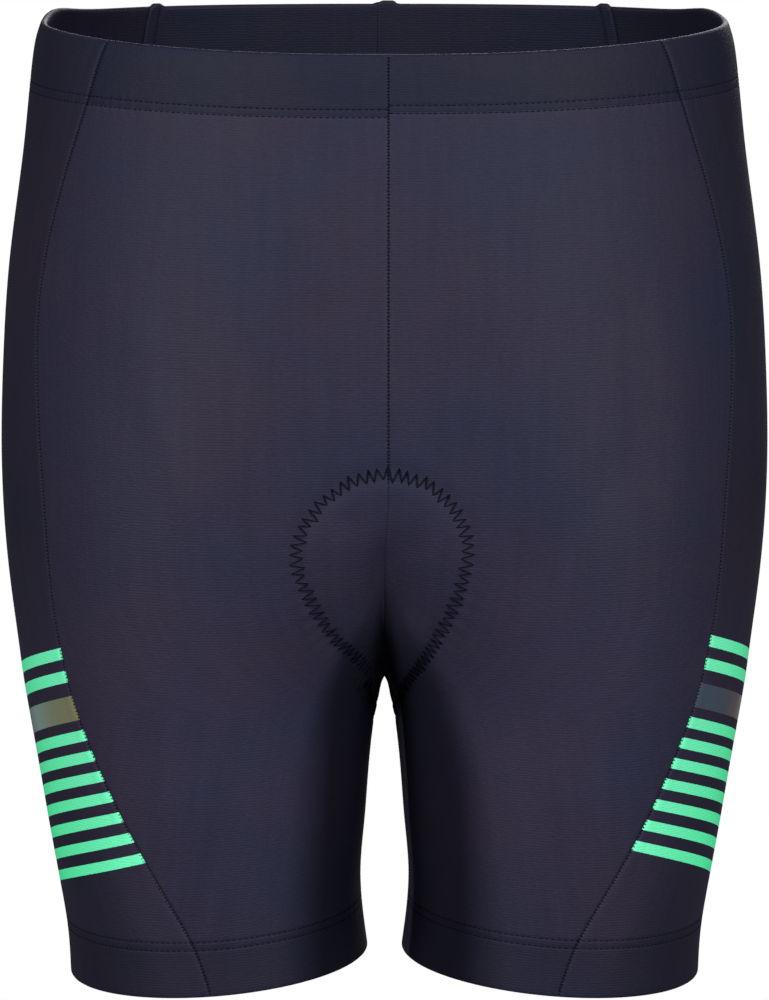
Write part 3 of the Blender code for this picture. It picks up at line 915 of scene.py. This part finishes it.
def doubledTint(tree, colour, level, sideName, bandTint):  # tints the waistband and the hems
    looks = knitLooks
    waistRows, hemRows = needleLevels(sideName)
    band = addNode(tree, "ShaderNodeMapRange", {"interpolation_type": "SMOOTHSTEP"}, {
        "From Min": waistRows[1] - 0.0007, "From Max": waistRows[1] + 0.0016,
    }, {"Value": level})
    hem = addNode(tree, "ShaderNodeMapRange", {"interpolation_type": "SMOOTHSTEP"}, {
        "From Min": hemRows[1] + 0.0015, "From Max": hemRows[1] - 0.0012,
    }, {"Value": level})
    for mask, tint in ((band, bandTint), (hem, "hemTint")):
        mix = addNode(tree, "ShaderNodeMix", {"data_type": "RGBA", "blend_type": "MULTIPLY"}, {
            7: linearColour(looks[tint]),
        }, {0: mask.outputs[0], 6: colour})
        colour = mix.outputs[2]
    return colour


def knitHeight(tree, looks):  # level courses, cut by finer wales and broken by yarn unevenness
    uv = addNode(tree, "ShaderNodeUVMap", {"uv_map": "clothMap"}).outputs[0]
    split = addNode(tree, "ShaderNodeSeparateXYZ", None, None, {0: uv})
    noise = addNode(tree, "ShaderNodeTexNoise", None, {  # uneven yarn, in lumps about 2.4 mm long
        "Scale": 420.0, "Detail": 2.0,
    }, {"Vector": uv})
    wobble = mathNode(tree, "MULTIPLY", noise.outputs["Fac"], 2.6)
    waves = []
    for socket, pitch in ((0, looks["walePitchMm"]), (1, looks["ribPitchMm"])):
        wave = mathNode(tree, "MULTIPLY", split.outputs[socket], 2 * math.pi * 1000 / pitch)
        waves.append(mathNode(tree, "SINE", mathNode(tree, "ADD", wave, wobble)))
    patches = addNode(tree, "ShaderNodeTexNoise", None, {  # ribs fade in patches about 6 mm wide
        "Scale": 170.0, "Detail": 1.0,
    }, {"Vector": uv})
    fading = addNode(tree, "ShaderNodeMapRange", None, {
        "From Min": 0.36, "From Max": 0.62, "To Min": 0.22, "To Max": 0.95,
    }, {"Value": patches.outputs["Fac"]})
    both = mathNode(tree, "MULTIPLY_ADD", waves[0], 0.40, waves[1])
    both = mathNode(tree, "MULTIPLY", both, fading.outputs[0])
    # level dashes about 3 mm long, where single courses ride up
    wide = addNode(tree, "ShaderNodeVectorMath", {"operation": "MULTIPLY"}, {
        1: (330.0, 1050.0, 1.0),
    }, {0: uv})
    dashes = addNode(tree, "ShaderNodeTexNoise", None, {"Scale": 1.0, "Detail": 1.5}, {
        "Vector": wide.outputs[0],
    })
    dashed = mathNode(tree, "SUBTRACT", dashes.outputs["Fac"], 0.5)
    both = mathNode(tree, "MULTIPLY_ADD", dashed, 4.2, both)
    return mathNode(tree, "MULTIPLY_ADD", noise.outputs["Fac"], 1.2, both), uv, split


def knitMaterial(name, sideName, part="main", bandTint="bandTint"):
    # Warp-knitted polyamide with elastane: smooth filament yarn, so a soft sheen at grazing angles,
    # and level courses that catch the light as fine lines.
    material, tree, shader = newMaterial(name)
    looks = knitLooks
    height, uv, split = knitHeight(tree, looks)
    colour = doubledTint(tree, knitColour(tree, looks), split.outputs[1], sideName, bandTint)
    # painted highlight along the folded waist edge
    colour = paintedFoldHighlight(tree, colour, split.outputs[1])
    line = addNode(tree, "ShaderNodeMapRange", None, {
        "From Min": -1.5, "From Max": 2.5, "To Min": 0.88, "To Max": 1.09,
    }, {"Value": height})
    # yarn runs that took the dye unevenly show as faint upright streaks and grain
    stretched = addNode(tree, "ShaderNodeVectorMath", {"operation": "MULTIPLY"}, {
        1: (170.0, 16.0, 1.0),
    }, {0: uv})
    streak = addNode(tree, "ShaderNodeTexNoise", None, {
        "Scale": 1.0, "Detail": 3.0, "Roughness": 0.6,
    }, {"Vector": stretched.outputs[0]})
    grainy = addNode(tree, "ShaderNodeTexNoise", None, {
        "Scale": 560.0, "Detail": 2.0, "Roughness": 0.7,
    }, {"Vector": uv})
    mottle = mathNode(tree, "MULTIPLY_ADD", grainy.outputs["Fac"], 0.42, 0.64)
    mottle = mathNode(tree, "MULTIPLY_ADD", streak.outputs["Fac"], 0.30, mottle)
    # painted light and shade: by height the knit is paler over the thighs and darker over the hips,
    # and the side panels also darken away from the front seam
    hem, thigh, hip = looks[part + "PaintedShade"]
    nearSeam, behind = looks[part + "PaintedEdgeShade"]
    amount = mathNode(tree, "MULTIPLY", line.outputs[0], mottle)
    for source, start, end, first, last in (
        (split.outputs[1], -0.40, -0.32, hem / thigh, 1.0),
        (split.outputs[1], -0.30, -0.20, thigh, hip),
        (split.outputs[0], 0.0, 0.055, nearSeam, behind),
    ):
        shade = addNode(tree, "ShaderNodeMapRange", {"interpolation_type": "SMOOTHSTEP"}, {
            "From Min": start, "From Max": end, "To Min": first, "To Max": last,
        }, {"Value": source})
        amount = mathNode(tree, "MULTIPLY", amount, shade.outputs[0])
    scaled = addNode(tree, "ShaderNodeVectorMath", {"operation": "SCALE"}, None, {
        0: colour, "Scale": amount,
    })
    tree.links.new(scaled.outputs[0], shader.inputs["Base Color"])
    bump = addNode(tree, "ShaderNodeBump", None, {
        "Strength": looks["ribBump"], "Distance": 0.0004,
    }, {"Height": height})
    tree.links.new(bump.outputs[0], shader.inputs["Normal"])
    shader.inputs["Roughness"].default_value = looks["roughness"]
    shader.inputs["Specular IOR Level"].default_value = looks["specular"]
    shader.inputs["Sheen Weight"].default_value = looks["sheen"]
    shader.inputs["Sheen Roughness"].default_value = 0.45
    shader.inputs["Sheen Tint"].default_value = linearColour("#8b87a8")
    return material, tree, shader, scaled.outputs[0], uv, split


def printedMaterial(name, sideName, raisedBy, bend, paintedReflectionRamp):
    # The same knit with a rubbery ink print in stripes, and one bar of glass-bead reflective film,
    # whose reflection is painted along the leg.
    material, tree, shader, colour, uv, split = knitMaterial(name, sideName, "side", "sideBandTint")
    looks = printLooks
    lower = mathNode(tree, "SUBTRACT", split.outputs[1], looks["slopeFrom"])
    slope = mathNode(tree, "MULTIPLY_ADD", lower, looks["slopeEasing"], looks["slope"])
    below = mathNode(tree, "SUBTRACT", looks["bendFrom"] + raisedBy, split.outputs[1])
    below = mathNode(tree, "DIVIDE", mathNode(tree, "MAXIMUM", below, 0.0), looks["bendReach"])
    bent = mathNode(tree, "MULTIPLY", mathNode(tree, "MULTIPLY", below, below), bend)
    slope = mathNode(tree, "SUBTRACT", slope, bent)
    slanted = mathNode(tree, "MULTIPLY_ADD", split.outputs[0], slope, split.outputs[1])
    fuzz = addNode(tree, "ShaderNodeTexNoise", None, {  # the ink's edge follows yarns 0.7 mm apart
        "Scale": 1400.0, "Detail": 1.0,
    }, {"Vector": uv})
    slanted = mathNode(tree, "MULTIPLY_ADD", fuzz.outputs["Fac"], looks["inkCreep"], slanted)
    down = mathNode(tree, "SUBTRACT", raisedBy + looks["inkCreep"] / 2, slanted)
    masks = []
    for top in looks["stripeTops"]:
        centre = -top + looks["stripeHeight"] / 2
        masks.append(mathNode(tree, "COMPARE", down, centre, looks["stripeHeight"] / 2))
    below = mathNode(tree, "ADD", down, looks["repeatTop"])
    started = mathNode(tree, "GREATER_THAN", below, 0.0)
    lasting = mathNode(tree, "LESS_THAN", below, looks["repeatPitch"] * looks["repeats"])
    thin = mathNode(tree, "ADD", below, looks["stripeTops"][0] - looks["repeatTop"])
    thin = mathNode(tree, "MULTIPLY_ADD", thin, -looks["thinning"], looks["stripeHeight"])
    inked = mathNode(tree, "MODULO", below, looks["repeatPitch"])
    inked = mathNode(tree, "LESS_THAN", inked, thin)
    inRange = mathNode(tree, "MULTIPLY", started, lasting)
    masks.append(mathNode(tree, "MULTIPLY", inked, inRange))
    ink = mathNode(tree, "ADD", mathNode(tree, "ADD", masks[0], masks[1]), masks[2])
    barCentre = -looks["barTop"] + looks["barHeight"] / 2
    bar = mathNode(tree, "COMPARE", down, barCentre, looks["barHeight"] / 2)
    grain = addNode(tree, "ShaderNodeMapRange", None, {
        "From Min": 0.3, "From Max": 0.7, "To Min": 0.90, "To Max": 1.06,
    }, {"Value": fuzz.outputs["Fac"]})
    # painted light: the green brightens away from the front seam
    around = addNode(tree, "ShaderNodeMapRange", None, {"From Min": 0.01, "From Max": 0.08}, {
        "Value": split.outputs[0],
    })
    inkColour = addNode(tree, "ShaderNodeMix", {"data_type": "RGBA"}, {
        6: linearColour(looks["green"]), 7: linearColour(looks["greenWithPaintedLight"]),
    }, {0: around.outputs[0]})
    green = addNode(tree, "ShaderNodeVectorMath", {"operation": "SCALE"}, None, {
        0: inkColour.outputs[2], "Scale": grain.outputs[0],
    })
    withInk = addNode(tree, "ShaderNodeMix", {"data_type": "RGBA"}, None, {
        0: ink, 6: colour, 7: green.outputs[0],
    })
    # painted reflection: the film's colours are laid along the leg from the front seam back
    ramp = addNode(tree, "ShaderNodeValToRGB")
    place = addNode(tree, "ShaderNodeMapRange", None, {"From Min": 0.0, "From Max": 0.075}, {
        "Value": split.outputs[0],
    })
    tree.links.new(place.outputs[0], ramp.inputs[0])
    while len(ramp.color_ramp.elements) < len(paintedReflectionRamp):
        ramp.color_ramp.elements.new(0.5)
    for element, (position, code) in zip(ramp.color_ramp.elements, paintedReflectionRamp):
        element.position = position
        element.color = linearColour(code)
    withBar = addNode(tree, "ShaderNodeMix", {"data_type": "RGBA"}, None, {
        0: bar, 6: withInk.outputs[2], 7: ramp.outputs[0],
    })
    tree.links.new(withBar.outputs[2], shader.inputs["Base Color"])
    printed = mathNode(tree, "MAXIMUM", ink, bar)
    rough = mathNode(tree, "MULTIPLY_ADD", printed, -0.14, knitLooks["roughness"])
    tree.links.new(rough, shader.inputs["Roughness"])
    return material


def threadMaterial():
    # Textured polyester thread, dyed darker than the cloth; its twist shows as a fine ridge.
    material, tree, shader = newMaterial("polyester thread")
    place = addNode(tree, "ShaderNodeTexCoord").outputs["Object"]
    noise = addNode(tree, "ShaderNodeTexNoise", None, {
        "Scale": 900.0, "Detail": 2.0,
    }, {"Vector": place})
    ramp = addNode(tree, "ShaderNodeMix", {"data_type": "RGBA"}, {
        6: linearColour("#02030d"), 7: linearColour("#060816"),
    }, {0: noise.outputs["Fac"]})
    tree.links.new(ramp.outputs[2], shader.inputs["Base Color"])
    bump = addNode(tree, "ShaderNodeBump", None, {"Strength": 0.4, "Distance": 0.0002}, {
        "Height": noise.outputs["Fac"],
    })
    tree.links.new(bump.outputs[0], shader.inputs["Normal"])
    shader.inputs["Roughness"].default_value = 0.8
    shader.inputs["Specular IOR Level"].default_value = 0.05
    return material


def padMaterial():
    # Brushed polyester fleece on foam: matte, with a short nap that lightens the edges.
    material, tree, shader = newMaterial("pad fleece")
    place = addNode(tree, "ShaderNodeTexCoord").outputs["Object"]
    nap = addNode(tree, "ShaderNodeTexNoise", None, {  # tufts about 1.4 mm wide
        "Scale": 700.0, "Detail": 4.0,
    }, {"Vector": place})
    soft = addNode(tree, "ShaderNodeTexNoise", None, {  # pressed patches about 22 mm wide
        "Scale": 45.0, "Detail": 2.0,
    }, {"Vector": place})
    blend = mathNode(tree, "MULTIPLY", soft.outputs["Fac"], 0.4)
    blend = mathNode(tree, "MULTIPLY_ADD", nap.outputs["Fac"], 0.6, blend)
    ramp = addNode(tree, "ShaderNodeMix", {"data_type": "RGBA"}, {
        6: linearColour("#16171f"), 7: linearColour("#2c2d38"),
    }, {0: blend})
    tree.links.new(ramp.outputs[2], shader.inputs["Base Color"])
    bump = addNode(tree, "ShaderNodeBump", None, {"Strength": 0.5, "Distance": 0.0006}, {
        "Height": nap.outputs["Fac"],
    })
    tree.links.new(bump.outputs[0], shader.inputs["Normal"])
    shader.inputs["Roughness"].default_value = 0.9
    shader.inputs["Specular IOR Level"].default_value = 0.15
    shader.inputs["Sheen Weight"].default_value = 0.6
    shader.inputs["Sheen Roughness"].default_value = 0.5
    return material


knits = {
    sideName: knitMaterial("warp-knit polyamide " + sideName, sideName)[0]
    for sideName in ("left", "right")
}
prints = {
    # the ramps below are painted reflections of the film bar on each leg
    "right": printedMaterial("printed knit right", "right", 0.0, 0.006, (
        (0.0, "#656349"), (0.30, "#636b58"), (0.60, "#67817a"), (0.90, "#626c6c"),
    )),
    "left": printedMaterial("printed knit left", "left", printLooks["leftRaise"], -0.004, (
        (0.0, "#343f4c"), (0.40, "#3a3f49"), (0.64, "#50474a"), (0.90, "#757370"),
    )),
}
thread = threadMaterial()
fleece = padMaterial()


# Panels. The flat cut is smaller than the worn cloth, which is stretched over the wearer.
flatCuts = {  # width and length of the flat cut, each with its turned-in ends
    "front": (0.176, 0.470),
    "side": (0.168, 0.485),
    "back": (0.190, 0.500),
}

for sideName in ("left", "right"):
    for kind in ("front", "side", "back"):
        piece, area = makePanel(kind, sideName)
        nodes = [kind + "_" + sideName, "waist_casing", "leg_hem_" + sideName]
        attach(piece, "root")
        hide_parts(*nodes)
        if kind == "side":
            piece.data.materials.append(prints[sideName])
        else:
            piece.data.materials.append(knits[sideName])
        width, length = flatCuts[kind]
print("panels made")


# Stitches. One stitch is modelled and copied along each row.
stitchSizes = {
    "radius": 0.00021,
    "needleLength": 0.0021,
    "needlePitch": 0.0028,
    "seamLength": 0.0017,
    "seamPitch": 0.0016,
    "seamRadius": 0.00018,
    "seamSlant": 0.40,
    "seamAcross": 0.85,
    "looperRadius": 0.00028,
    "looperPitch": 0.0026,
    "needleRise": 0.00012,  # how far the threads stand out of the groove, or lie in the cloth
    "seamSink": 0.00008,
    "looperRise": 0.00015,
    "hemLooperDrop": 0.0016,
}


def modelStitch():  # a thread loop that dips into the cloth at both ends
    bpy.ops.object.select_all(action="DESELECT")
    bpy.ops.mesh.primitive_cylinder_add(vertices=6, radius=1, depth=2, rotation=(0, math.pi / 2, 0))
    stitch = bpy.context.object
    bpy.ops.object.transform_apply(location=True, rotation=True, scale=True)
    bpy.ops.object.mode_set(mode="EDIT")
    for place in (-0.55, 0.55):
        bpy.ops.mesh.select_all(action="SELECT")
        bpy.ops.mesh.bisect(plane_co=(place, 0, 0), plane_no=(1, 0, 0))
    bpy.ops.object.mode_set(mode="OBJECT")
    for vertex in stitch.data.vertices:
        narrow = math.sqrt(max(1 - 0.85 * vertex.co.x ** 4, 0))
        vertex.co.y *= narrow
        vertex.co.z = vertex.co.z * narrow - 0.9 * vertex.co.x ** 4
    return stitch


stitchModel = modelStitch()
stitchPoints = np.array([tuple(v.co) for v in stitchModel.data.vertices])
stitchFaces = [tuple(p.vertices) for p in stitchModel.data.polygons]
bpy.data.objects.remove(stitchModel, do_unlink=True)


def copyStitches(name, starts, ends, normals, radius):  # one stitch from each start to its end
    centres = (starts + ends) / 2
    along = ends - starts
    length = np.linalg.norm(along, axis=1, keepdims=True)
    along = along / length
    side = np.cross(normals, along)
    side /= np.linalg.norm(side, axis=1, keepdims=True)
    up = np.cross(along, side)
    points = (
        centres[:, None, :]
        + along[:, None, :] * stitchPoints[None, :, 0:1] * (length[:, None, :] / 2)
        + side[:, None, :] * stitchPoints[None, :, 1:2] * radius
        + up[:, None, :] * stitchPoints[None, :, 2:3] * radius
    )
    points = settleAskew(points)
    count = len(stitchPoints)
    faces = []
    for i in range(len(centres)):
        faces += [tuple(i * count + k for k in face) for face in stitchFaces]
    piece = makeMesh(name, points.reshape(-1, 3), faces)
    piece.data.materials.append(thread)
    piece.data.shade_smooth()
    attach(piece, "root")
    print(name, len(centres), "stitches")
    return piece


def levelLine(level):  # sampled turns round the +X half of the cloth, and the lengths to them
    turns = np.linspace(frontMiddleTurn, backMiddleTurn, 4000)
    return turns, lengthsAlong(sectionPoint(turns, level))


def joinRows(rows):
    return tuple(np.concatenate([row[k] for row in rows]) for k in range(3))


def onSide(parts, sideName):
    return parts if sideName == "left" else tuple(part * otherSide for part in parts)


def needleRows(levels, sideName):
    sizes = stitchSizes
    inward = needleRelief["needleGroove"] - sizes["needleRise"]
    rows = []
    for level in levels:
        turns, along = levelLine(level)
        count = int(along[-1] / sizes["needlePitch"])
        centres = (np.arange(count) + 0.5) * along[-1] / count
        row = []
        for offset in (-sizes["needleLength"] / 2, sizes["needleLength"] / 2):
            picked = np.interp(centres + offset, along, turns)
            end, normals = settle(sectionPoint(picked, level), np.full(count, inward))
            row.append(end)
        rows.append(row + [normals])
    return onSide(joinRows(rows), sideName)


def looperRow(levels, depth, sideName):  # the looper thread inside, between two needle rows
    turns, along = levelLine(sum(levels) / 2)
    count = int(along[-1] / stitchSizes["looperPitch"])
    picked = np.interp(np.linspace(0, along[-1], count), along, turns)
    heights = np.where(np.arange(count) % 2 == 0, levels[0], levels[1])
    inward = np.full(count, depth + stitchSizes["looperRise"])
    points, normals = settle(sectionPoint(picked, heights), inward)
    return onSide((points[:-1], points[1:], -normals[:-1]), sideName)


def sewBands():  # twin needle rows outside and looper thread inside, at the waist and both hems
    sizes = stitchSizes
    sides = ("left", "right")
    rows = [needleRows(needleLevels(sideName)[0], sideName) for sideName in sides]
    copyStitches("waistNeedleStitches", *joinRows(rows), sizes["radius"])
    for sideName in sides:
        row = needleRows(needleLevels(sideName)[1], sideName)
        copyStitches("hemNeedleStitches" + sideName.capitalize(), *row, sizes["radius"])
    for sideName in sides:
        lowered = [level - sizes["hemLooperDrop"] for level in needleLevels(sideName)[1]]
        row = looperRow(lowered, sheetPath["hemThickness"], sideName)
        copyStitches("hemLooperThread" + sideName.capitalize(), *row, sizes["looperRadius"])
    rows = []
    for sideName in sides:
        levels = needleLevels(sideName)[0]
        rows.append(looperRow(levels, sheetPath["casingThickness"], sideName))
    copyStitches("waistLooperThread", *joinRows(rows), sizes["looperRadius"])


def seamPoints(name, top, bottom):
    if "Middle" in name:
        line = riseLine(-1 if name == "frontMiddle" else 1, np.linspace(1, 0, 3000))
        return line[(line[:, 2] <= top) & (line[:, 2] >= bottom)]
    levels = np.linspace(top, bottom, 3000)
    turns = np.full_like(levels, frontMiddleTurn) if name == "inseam" else seamTurn(name, levels)
    return sectionPoint(turns, levels)


def crossingRow(centre, behind, ahead):  # the row's heading at each place, and the way across it
    heading = ahead - behind
    heading /= np.linalg.norm(heading, axis=1, keepdims=True)
    normal = gradientOf(outsideOf, centre)
    normal /= np.linalg.norm(normal, axis=1, keepdims=True)
    slant = np.where(np.arange(len(centre)) % 2 == 0, 1, -1)[:, None]
    return heading, np.cross(normal, heading), slant


def sewSeam(name, top, bottom):  # short threads that cross the seam at a slant
    sizes = stitchSizes
    line = seamPoints(name, top, bottom)
    along = lengthsAlong(line)
    count = int(along[-1] / sizes["seamPitch"])
    places = (np.arange(count) + 0.5) * along[-1] / count
    centre = pointsAt(places, along, line)
    heading, cross, slant = crossingRow(centre, centre, pointsAt(places + 0.0004, along, line))
    across = sizes["seamAcross"] * cross + sizes["seamSlant"] * slant * heading
    ends = []
    for sign in (-1, 1):
        place = ontoCloth(centre + sign * sizes["seamLength"] / 2 * across)
        point, normals = settle(place, np.full(count, sizes["seamSink"]))
        ends.append(point)
    parts = (ends[0], ends[1], normals)
    if "Middle" not in name:
        parts = joinRows([parts, onSide(parts, "right")])
    copyStitches(name + "Stitches", *parts, sizes["seamRadius"])


def sewPad():  # one zigzag row all round the pad's outline
    sewn = padSewing
    count = int(outlineLength[-1] / (sewn["pitch"] / 2))
    rng = np.random.default_rng(11)
    places = np.linspace(0, outlineLength[-1], count)
    places[1:-1] += rng.normal(0, sewn["unevenness"], count - 2)
    centre, behind, ahead = [
        pointsAt(places + step, outlineLength, outlinePoints) for step in (0, -0.002, 0.002)
    ]
    cross, slant = crossingRow(centre, behind, ahead)[1:]
    along = np.interp(places, outlineLength, outlineAlong)
    narrower = np.interp(along, sewn["leanAt"], sewn["narrower"])[:, None]
    rows = []
    for sign in (1, -1):
        uneven = rng.normal(0, sewn["unevenness"], (count, 1))
        place = centre + cross * (sewn["width"] / 2 * slant - narrower + uneven)
        place[:, 0] = np.maximum(place[:, 0], 0) * sign
        place[:, 0] += np.interp(along, sewn["leanAt"], sewn["lean"])
        place = ontoCloth(place, 3)
        points, normals = settle(place, -clothRise(place) - sewn["threadRise"])
        rows.append((points[:-1], points[1:], normals[:-1]))
    copyStitches("padZigzag", *joinRows(rows), sewn["thread"])


sewBands()
seamTop = wornForm["waistLevel"] - 0.001
seamEnd = wornForm["legEndLevel"] + 0.001
seamSpans = {
    "frontMiddle": (seamTop, -0.190),  # it sinks under the pad's sewn line
    "backMiddle": (seamTop, wornForm["crotchLevel"] + 0.001),
    "inseam": (wornForm["crotchLevel"] - 0.002, seamEnd),
    "frontSeam": (seamTop, seamEnd),
    "backSeam": (seamTop, seamEnd),
}
for seamName, (top, bottom) in seamSpans.items():
    sewSeam(seamName, top, bottom)
sewPad()
print("sewing done")


# Seat pad
padShape = {
    "edge": 0.0014,
    "clear": 0.0013,
    "crownReach": 0.014,
    "channelDepth": 0.0016,
    "channelWidth": 0.0035,
    "channelFrom": (-0.11, 0.03),  # where it starts along the crotch, and the length that it takes
    "wave": 0.0006,
    "endPaintedEdgeShade": 0.05,
    "rows": 110,
    "columns": 56,
}


def makePad():
    shape = padShape
    first, last = padRows[0][0], padRows[-1][0]
    turn = np.linspace(shape["endPaintedEdgeShade"], math.pi - shape["endPaintedEdgeShade"], shape["rows"])
    along = ((first + last) / 2 - (last - first) / 2 * np.cos(turn))[:, None]
    share = np.sin(np.linspace(-math.pi / 2, math.pi / 2, shape["columns"]))[None, :]
    width = outlineHalfWidth(along)
    across = width * share
    ground = fieldPoint((along + 0 * share).ravel(), across.ravel())
    mirror = np.where(across.reshape(-1, 1) < 0, otherSide, 1)
    frontEnd = 1 - np.clip((along - first) / padSewing["frontRound"], 0, 1)
    backEnd = 1 - np.clip((last - along) / padSewing["backRound"], 0, 1)
    crown = ease(width * (1 - np.abs(share)) / shape["crownReach"])
    start, over = shape["channelFrom"]
    channel = np.exp(-(across / shape["channelWidth"]) ** 2) * ease((along - start) / over)
    swell = smoothRead(padTable["thickness"], along) - shape["edge"]
    swell = swell - shape["channelDepth"] * channel
    swell = swell * crown * (1 - np.maximum(frontEnd, backEnd) ** 4)
    swell = swell + shape["wave"] * crown * np.sin(along * 140) * np.cos(share * 3)
    clear = shape["clear"] - foldDepth(ground * mirror, 1)  # the pad follows the cloth's soft folds
    lower = settle(ground, clear)[0] * mirror
    upper = settle(ground, clear + shape["edge"] + swell.ravel())[0] * mirror
    rows, columns = shape["rows"], shape["columns"]
    faces = [gridFaces(rows, columns, 0, True), gridFaces(rows, columns, rows * columns, False)]
    faces.append(edgeFaces(rows, columns, True))
    points = np.concatenate([upper, lower])
    piece = makeMesh("seatPad", points, np.concatenate(faces).tolist())
    finishShell(piece, 0.000001)
    piece.data.materials.append(fleece)
    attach(piece, "root")
    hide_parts("seat_pad")
    print("seat pad", len(piece.data.polygons))


makePad()


# Studio
studio = {
    "backdrop": "#ffffff",
    "domeRadius": 12,
    "skyStrength": 0.11,
    "cameraPlace": (0, -2.5, 0.1717),
    "cameraDown": 8.7,  # degrees below level
    "lens": 194.2,
    "lights": (  # name, place, aim, size and power
        ("leftBox", (-1.50, -1.84, 0.60), (0, 0, -0.22), (0.9, 1.8), 72),
        ("rightBox", (1.46, -1.88, 0.55), (0, 0, -0.22), (0.9, 1.8), 74),
        ("frontFill", (0.0, -2.9, 1.1), (0, 0, -0.2), (1.2, 0.8), 9),
        ("backBox", (0.5, 2.5, 0.9), (0, 0, -0.22), (1.4, 1.4), 50),
    ),
    "flag": (  # across, back edge, front edge and height
        (-0.001, -0.030, -0.094, -0.226),
        (-0.001, -0.030, -0.096, -0.254),
        (0.000, -0.030, -0.104, -0.268),
        (0.002, -0.030, -0.112, -0.288),
        (0.007, -0.030, -0.117, -0.310),
        (0.006, -0.030, -0.117, -0.360),
        (0.004, -0.030, -0.117, -0.640),
    ),
    "gauze": (-0.229, -0.272),  # the flag thickens from nothing between these levels
}


def makeStage():  # a white dome all round, which the camera sees and the cloth doesn't
    bpy.ops.object.select_all(action="DESELECT")
    bpy.ops.mesh.primitive_uv_sphere_add(segments=48, ring_count=24, radius=studio["domeRadius"])
    dome = bpy.context.object
    dome.name = "whiteDome"
    bpy.ops.object.shade_smooth()
    material, _, shader = newMaterial("glowing white cloth")
    shader.inputs["Base Color"].default_value = (0, 0, 0, 1)
    shader.inputs["Specular IOR Level"].default_value = 0.0
    shader.inputs["Emission Color"].default_value = linearColour(studio["backdrop"])
    shader.inputs["Emission Strength"].default_value = 1.0
    material.cycles.emission_sampling = "NONE"  # it lights nothing, so no light samples go to it
    dome.data.materials.append(material)
    dome.visible_diffuse = False
    dome.visible_glossy = False
    dome.visible_transmission = False
    dome.visible_shadow = False


def addFlag():
    # A card edge-on to the camera keeps each box's light on its own leg. Its top is gauze.
    corners = [(x, y, z) for x, behind, ahead, z in studio["flag"] for y in (behind, ahead)]
    faces = [(k, k + 1, k + 3, k + 2) for k in range(0, len(corners) - 2, 2)]
    mesh = bpy.data.meshes.new("greyFlag")
    mesh.from_pydata(corners, [], faces)
    flag = bpy.data.objects.new("greyFlag", mesh)
    bpy.context.scene.collection.objects.link(flag)
    material, tree, shader = newMaterial("grey card")
    shader.inputs["Base Color"].default_value = linearColour("#9c9ca8")
    shader.inputs["Roughness"].default_value = 1.0
    shader.inputs["Specular IOR Level"].default_value = 0.0
    place = addNode(tree, "ShaderNodeTexCoord").outputs["Object"]
    split = addNode(tree, "ShaderNodeSeparateXYZ", None, None, {0: place})
    gauze = addNode(tree, "ShaderNodeMapRange", {"interpolation_type": "SMOOTHSTEP"}, {
        "From Min": studio["gauze"][0], "From Max": studio["gauze"][1],
    }, {"Value": split.outputs[2]})
    tree.links.new(gauze.outputs[0], shader.inputs["Alpha"])
    mesh.materials.append(material)
    flag.visible_camera = False


def addLight(name, place, target, size, power):
    data = bpy.data.lights.new(name, "AREA")
    data.shape = "RECTANGLE"
    data.size, data.size_y = size
    data.energy = power
    light = bpy.data.objects.new(name, data)
    light.location = place
    light.rotation_euler = (Vector(target) - Vector(place)).to_track_quat("-Z", "Y").to_euler()
    bpy.context.scene.collection.objects.link(light)


def makeStudio():
    makeStage()
    addFlag()
    for light in studio["lights"]:
        addLight(*light)
    world = bpy.data.worlds.new("studioAir")
    bpy.context.scene.world = world
    world.use_nodes = True
    world.node_tree.nodes["Background"].inputs[0].default_value = (1, 1, 1, 1)
    world.node_tree.nodes["Background"].inputs[1].default_value = studio["skyStrength"]
    camera = bpy.data.objects.new("photoCamera", bpy.data.cameras.new("photoCamera"))
    camera.location = studio["cameraPlace"]
    camera.rotation_euler = (math.radians(90 - studio["cameraDown"]), 0, 0)
    camera.data.lens = studio["lens"]
    camera.data.sensor_width = 36
    camera.data.clip_end = 30
    bpy.context.scene.collection.objects.link(camera)
    bpy.context.scene.camera = camera
    view = bpy.context.scene.view_settings
    view.view_transform = "Standard"
    view.look = "None"
    view.exposure = 0
    view.gamma = 1


makeStudio()
print("studio ready")
